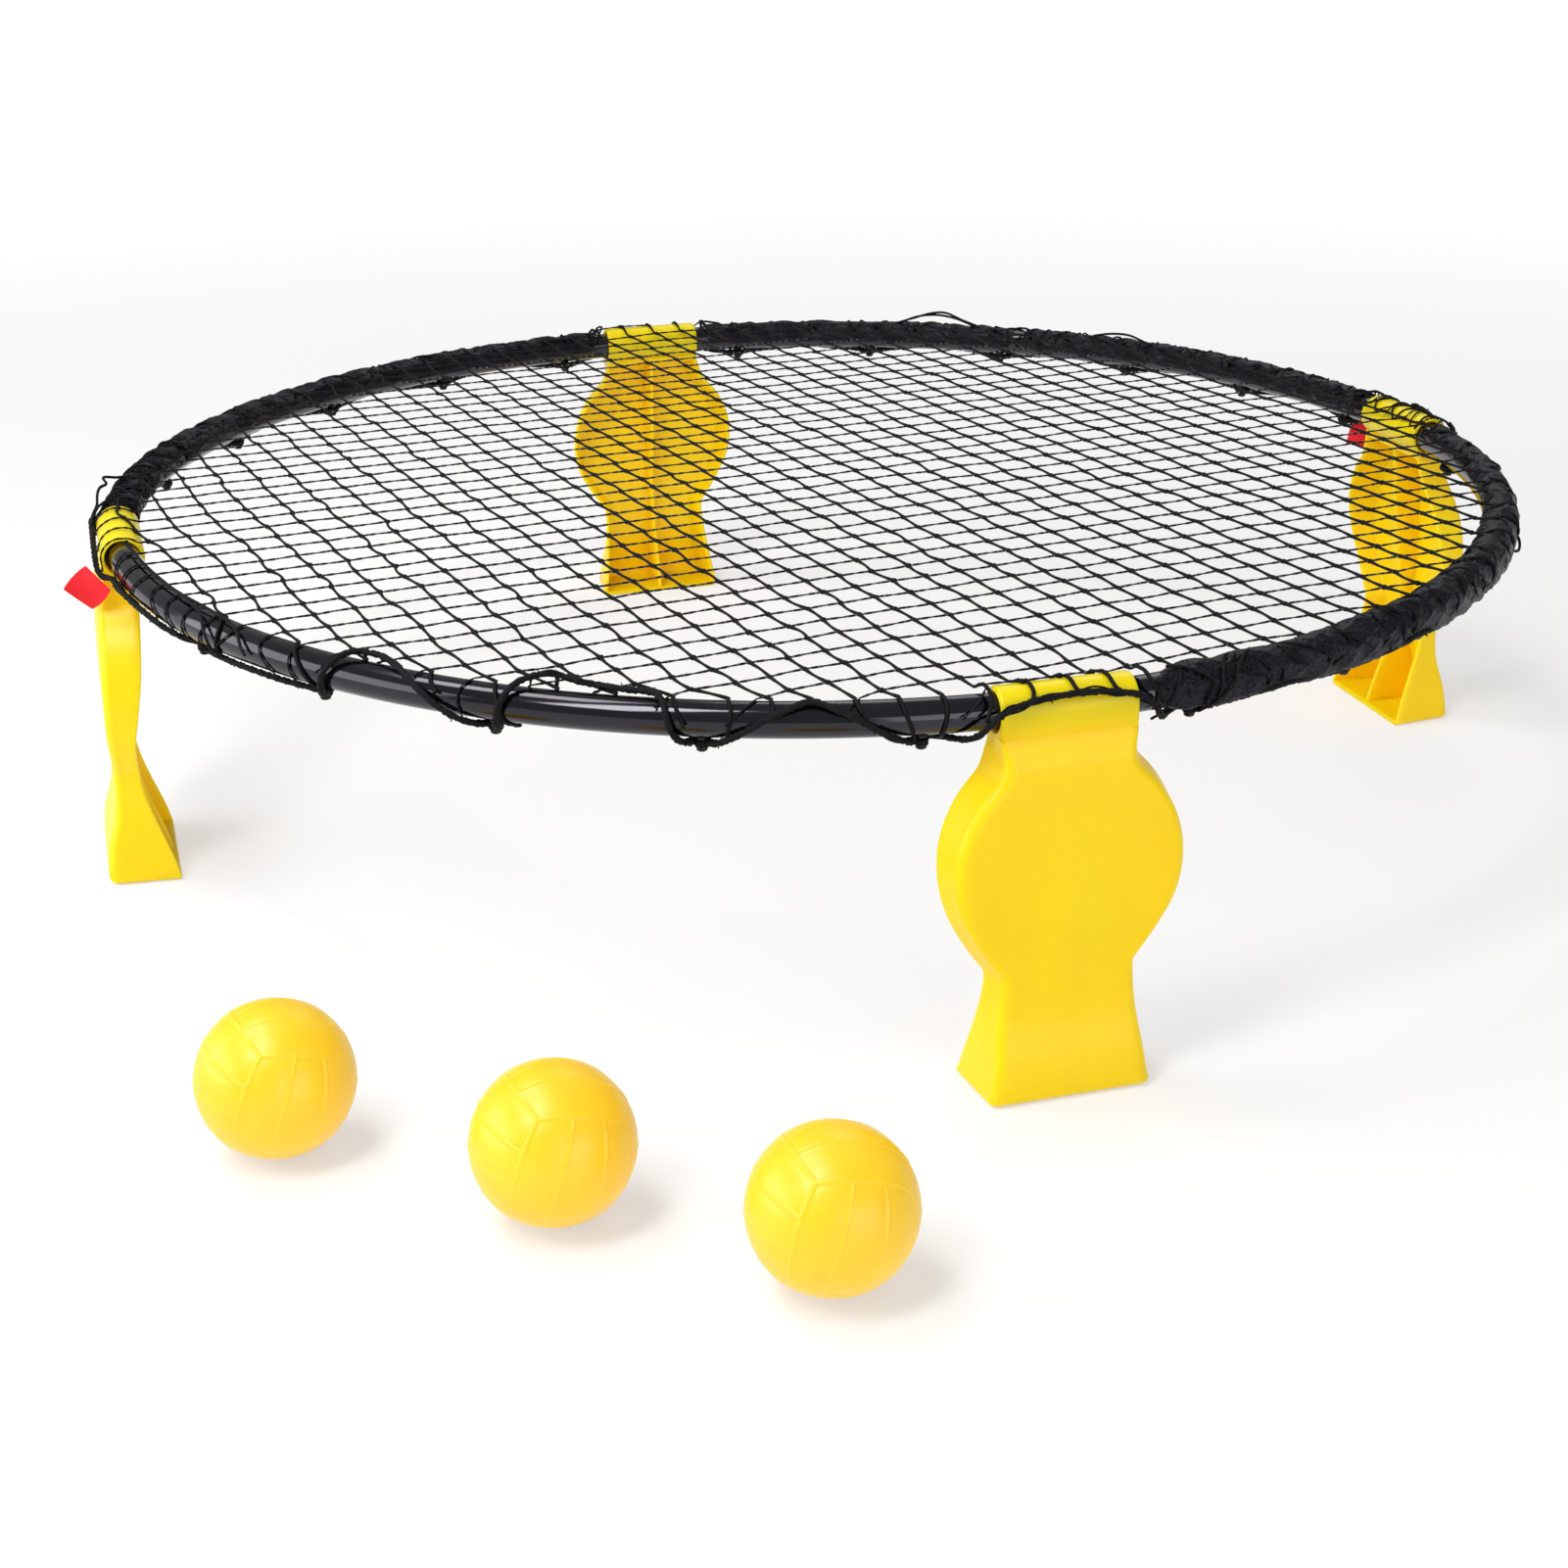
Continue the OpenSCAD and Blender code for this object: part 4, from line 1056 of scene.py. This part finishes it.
def makeRib(s):
    # stiffening rib down the middle of the hollow, its free edge rounded
    z = np.linspace(s["wall"] - 0.5, s["ribTop"], 40)
    half = s["wall"] / 2
    out = reachAt(s["outer"], z) - half
    back = reachAt(s["inner"], z) + 2.0
    a = np.radians(np.linspace(-90, 90, 7))
    section = [(back + half - half * np.cos(t), np.full_like(z, half * np.sin(t))) for t in a]
    section += [(out, np.full_like(z, half)), (out, np.full_like(z, -half))]
    points = np.stack([np.column_stack([x, y, z]) for x, y in section], 1)
    sides, total = len(section), len(section) * len(z)
    return points.reshape(-1, 3), [gridQuads(len(z), sides, False, True),
                                   [list(range(sides))[::-1]], [list(range(total - sides, total))]]


def joined(shapes):
    # one closed skin round shapes that run into each other
    solids = []
    for points, faces in shapes:
        mesh = bpy.data.meshes.new("rough leg")
        mesh.from_pydata(points.tolist(), [], [face for block in faces for face in np.asarray(block).tolist()])
        solids.append(addObject("rough leg", mesh))
    for other in solids[1:]:
        cut = solids[0].modifiers.new("join", "BOOLEAN")
        cut.operation, cut.solver, cut.object = "UNION", "EXACT", other
    done = bpy.data.meshes.new_from_object(solids[0].evaluated_get(bpy.context.evaluated_depsgraph_get()))
    points = np.empty(len(done.vertices) * 3)
    done.vertices.foreach_get("co", points)
    faces = [list(polygon.vertices) for polygon in done.polygons]
    for solid in solids:
        bpy.data.objects.remove(solid)
    return points.reshape(-1, 3), faces


def makeLegs(s):
    points, faces = joined([makeLegShell(s), makeSleeve(s), makeRib(s)])
    x, y, z = points.T
    x = x + ring["radius"]
    for k, bearing in enumerate(legBearings):
        a = math.radians(bearing)
        placed = np.column_stack([x * math.cos(a) - y * math.sin(a), x * math.sin(a) + y * math.cos(a), z])
        makePiece(f"folding_leg_{k + 1}", [(placed, [faces])], legPlastic, f"leg_{k + 1}",
                  (f"leg_{k + 1}",), sharp=38)
    print("legs are made")


makeLegs(leg)


# pull tabs, one by leg 3 and one by leg 1

tab = {
    "thick": 0.9,
    "cup": 1.1,              # the strip is slightly dished across its width
    "width": (23.5, 18.0), "length": (18.0, 20.0),
    "bearing": (201.65, 24.4), "turn": (-26.5, -48.0),    # where it is sewn on, turn round the tube
    "leave": (-44.2, -97.0),       # direction it leaves in, turn round the tube
    "roll": ((136.0, 76.0), (-9.0, -50.0)),    # how far it is rolled about that direction at either end
    "gap": (0.3, 0.4),
    "lines": (25, 21),       # of the mesh, along and across
}


def makeTabs(s):
    # strip of webbing: u runs straight out from the cord, v across; the roll changes evenly with u
    rows, cols = s["lines"]
    for k in range(2):
        width, length, leave = s["width"][k], s["length"][k], math.radians(s["leave"][k])
        start, _ = roundTube(np.array([s["bearing"][k]]), np.array([s["turn"][k]]), edgeCord["run"],
                             edgeCord["sleeveRun"])
        out = radial(s["bearing"][k])
        tangent = np.cross([0, 0, 1.0], out)
        heading = out * math.cos(leave) + np.array([0, 0, 1.0]) * math.sin(leave)
        u = np.linspace(0, 1, rows)[:, None]
        v = np.linspace(-0.5, 0.5, cols)
        middle = start[0] + heading * (edgeCord["radius"] + s["gap"][k] + length * u)
        rolled = np.radians(s["roll"][k][0] + (s["roll"][k][1] - s["roll"][k][0]) * u)
        wide = np.cos(rolled) * tangent + np.sin(rolled) * np.cross(heading, tangent)
        face = np.cross(heading, wide)
        dish = s["cup"] * (2 * v) ** 2 * (0.3 + 0.7 * u)
        skins = [middle[:, None] + wide[:, None] * (v * width * 0.985)[None, :, None] +
                 face[:, None] * (dish + side * s["thick"] / 2)[..., None] for side in (1, -1)]
        points = np.concatenate([skin.reshape(-1, 3) for skin in skins])
        # the strip's border, once round
        rim = np.concatenate([np.arange(cols), cols * np.arange(1, rows) + cols - 1,
                              (rows - 1) * cols + np.arange(cols - 2, -1, -1),
                              cols * np.arange(rows - 2, 0, -1)])
        after = np.roll(rim, -1)
        wall = np.stack([rim, after, after + rows * cols, rim + rows * cols], -1)
        faces = [gridQuads(rows, cols), gridQuads(rows, cols)[:, ::-1] + rows * cols, wall[:, ::-1]]
        along = np.tile(np.repeat(u * length, cols), 2)
        piece = makePiece(f"webbing_tab_{k + 1}", [(points, faces, along)], webbing, "frame",
                          (f"pull_tab_{k + 1}",), sharp=50)
    print("tabs are made")


makeTabs(tab)


# balls

ball = {
    "radius": 41.3,
    "places": [(-276, -501), (-129, -567), (5, -628)],
    "turns": [(-20, 4, -60), (-18, 1, -65), (-16, -2, -71)],    # degrees, how each ball happens to lie
    "seam": 0.26, "seamWide": 0.85,       # raised welt between panels
    "lines": 73,                          # of each face of the cube that swells to the ball
    # valve plug: bearing on each ball and tilt, then (radius, height over the ball) from the needle hole
    # at its middle over its domed top and down its side
    "valveTurn": (70, 95, 110), "valveTilt": -20, "valveSink": 0.35,
    "valveProfile": [(0.01, -1.2), (0.45, -1.1), (0.6, 0.1), (0.75, 0.3), (1.6, 0.36), (3.2, 0.34), (3.8, 0.2),
                     (4.0, -0.3), (4.0, -8.0), (0.01, -8.0)],
    "valveSides": 32,
}


def ballShape(s):
    # six faces of a cube swelled to a sphere, each of three strips: the welts run along strip and face edges
    base = np.linspace(-1, 1, s["lines"])
    uneven = base - 0.085 * np.sin(3 * np.pi * base + np.pi)   # more lines by the welts at -1, -1/3, 1/3 and 1
    u, v = np.meshgrid(uneven, uneven, indexing="ij")
    tanU, tanV = np.tan(u * np.pi / 4)[..., None], np.tan(v * np.pi / 4)[..., None]
    r = s["radius"] - s["seam"] - 0.05
    acrossWelt = np.minimum(np.minimum(np.abs(u - 1), np.abs(u + 1)),
                            np.minimum(np.abs(u - 1 / 3), np.abs(u + 1 / 3)))
    edgeWelt = np.minimum(np.abs(v - 1), np.abs(v + 1))
    near = np.minimum(acrossWelt, edgeWelt) * (r * np.pi / 4)
    # a welt with a shallow dip beside it
    height = s["seam"] * np.exp(-(near / s["seamWide"]) ** 2) - \
        0.5 * s["seam"] * np.exp(-((near - 2.2) / 1.2) ** 2)
    parts = []
    for out, side in (((1, 0, 0), (0, 1, 0)), ((-1, 0, 0), (0, 1, 0)), ((0, 1, 0), (0, 0, 1)),
                      ((0, -1, 0), (0, 0, 1)), ((0, 0, 1), (1, 0, 0)), ((0, 0, -1), (1, 0, 0))):
        out, side = np.array(out, float), np.array(side, float)
        point = out + tanU * side + tanV * np.cross(out, side)
        point /= np.linalg.norm(point, axis=-1)[..., None]
        parts.append((point * (r + height)[..., None], [gridQuads(*u.shape)[:, ::-1]]))
    return parts


def turned(points, angles):
    # turned about x, then y, then z
    a, b, c = np.radians(angles)
    rx = np.array([[1, 0, 0], [0, np.cos(a), -np.sin(a)], [0, np.sin(a), np.cos(a)]])
    ry = np.array([[np.cos(b), 0, np.sin(b)], [0, 1, 0], [-np.sin(b), 0, np.cos(b)]])
    rz = np.array([[np.cos(c), -np.sin(c), 0], [np.sin(c), np.cos(c), 0], [0, 0, 1]])
    return points @ (rz @ ry @ rx).T


def makeBalls(s):
    shape = ballShape(s)
    radius, height = np.array(s["valveProfile"]).T
    # the plug is domed with the ball
    height = height + s["radius"] - s["valveSink"] - (s["radius"] - np.sqrt(s["radius"] ** 2 - radius ** 2))
    tilt = math.radians(s["valveTilt"])
    for k, (x, y) in enumerate(s["places"]):
        centre = np.array([x, y, s["radius"]])
        parts = [(turned(p.reshape(-1, 3), s["turns"][k]) + centre, f) for p, f in shape]
        makePiece(f"soft_ball_{k + 1}", parts, rubber, f"ball_{k + 1}", (f"ball_{k + 1}",))
        out = radial(float(s["valveTurn"][k])) * math.cos(tilt) + np.array([0, 0, math.sin(tilt)])
        side = np.cross(out, [0, 0, 1.0])
        side /= np.linalg.norm(side)
        points = lathe(centre, out, side, np.cross(side, out), radius, height, s["valveSides"])
        makePiece(f"valve_plug_{k + 1}", [(points, [gridQuads(len(radius), s["valveSides"], False, True)])],
                  rubber, f"ball_{k + 1}", (f"ball_valve_{k + 1}",), sharp=50)
    print("balls are made")


makeBalls(ball)
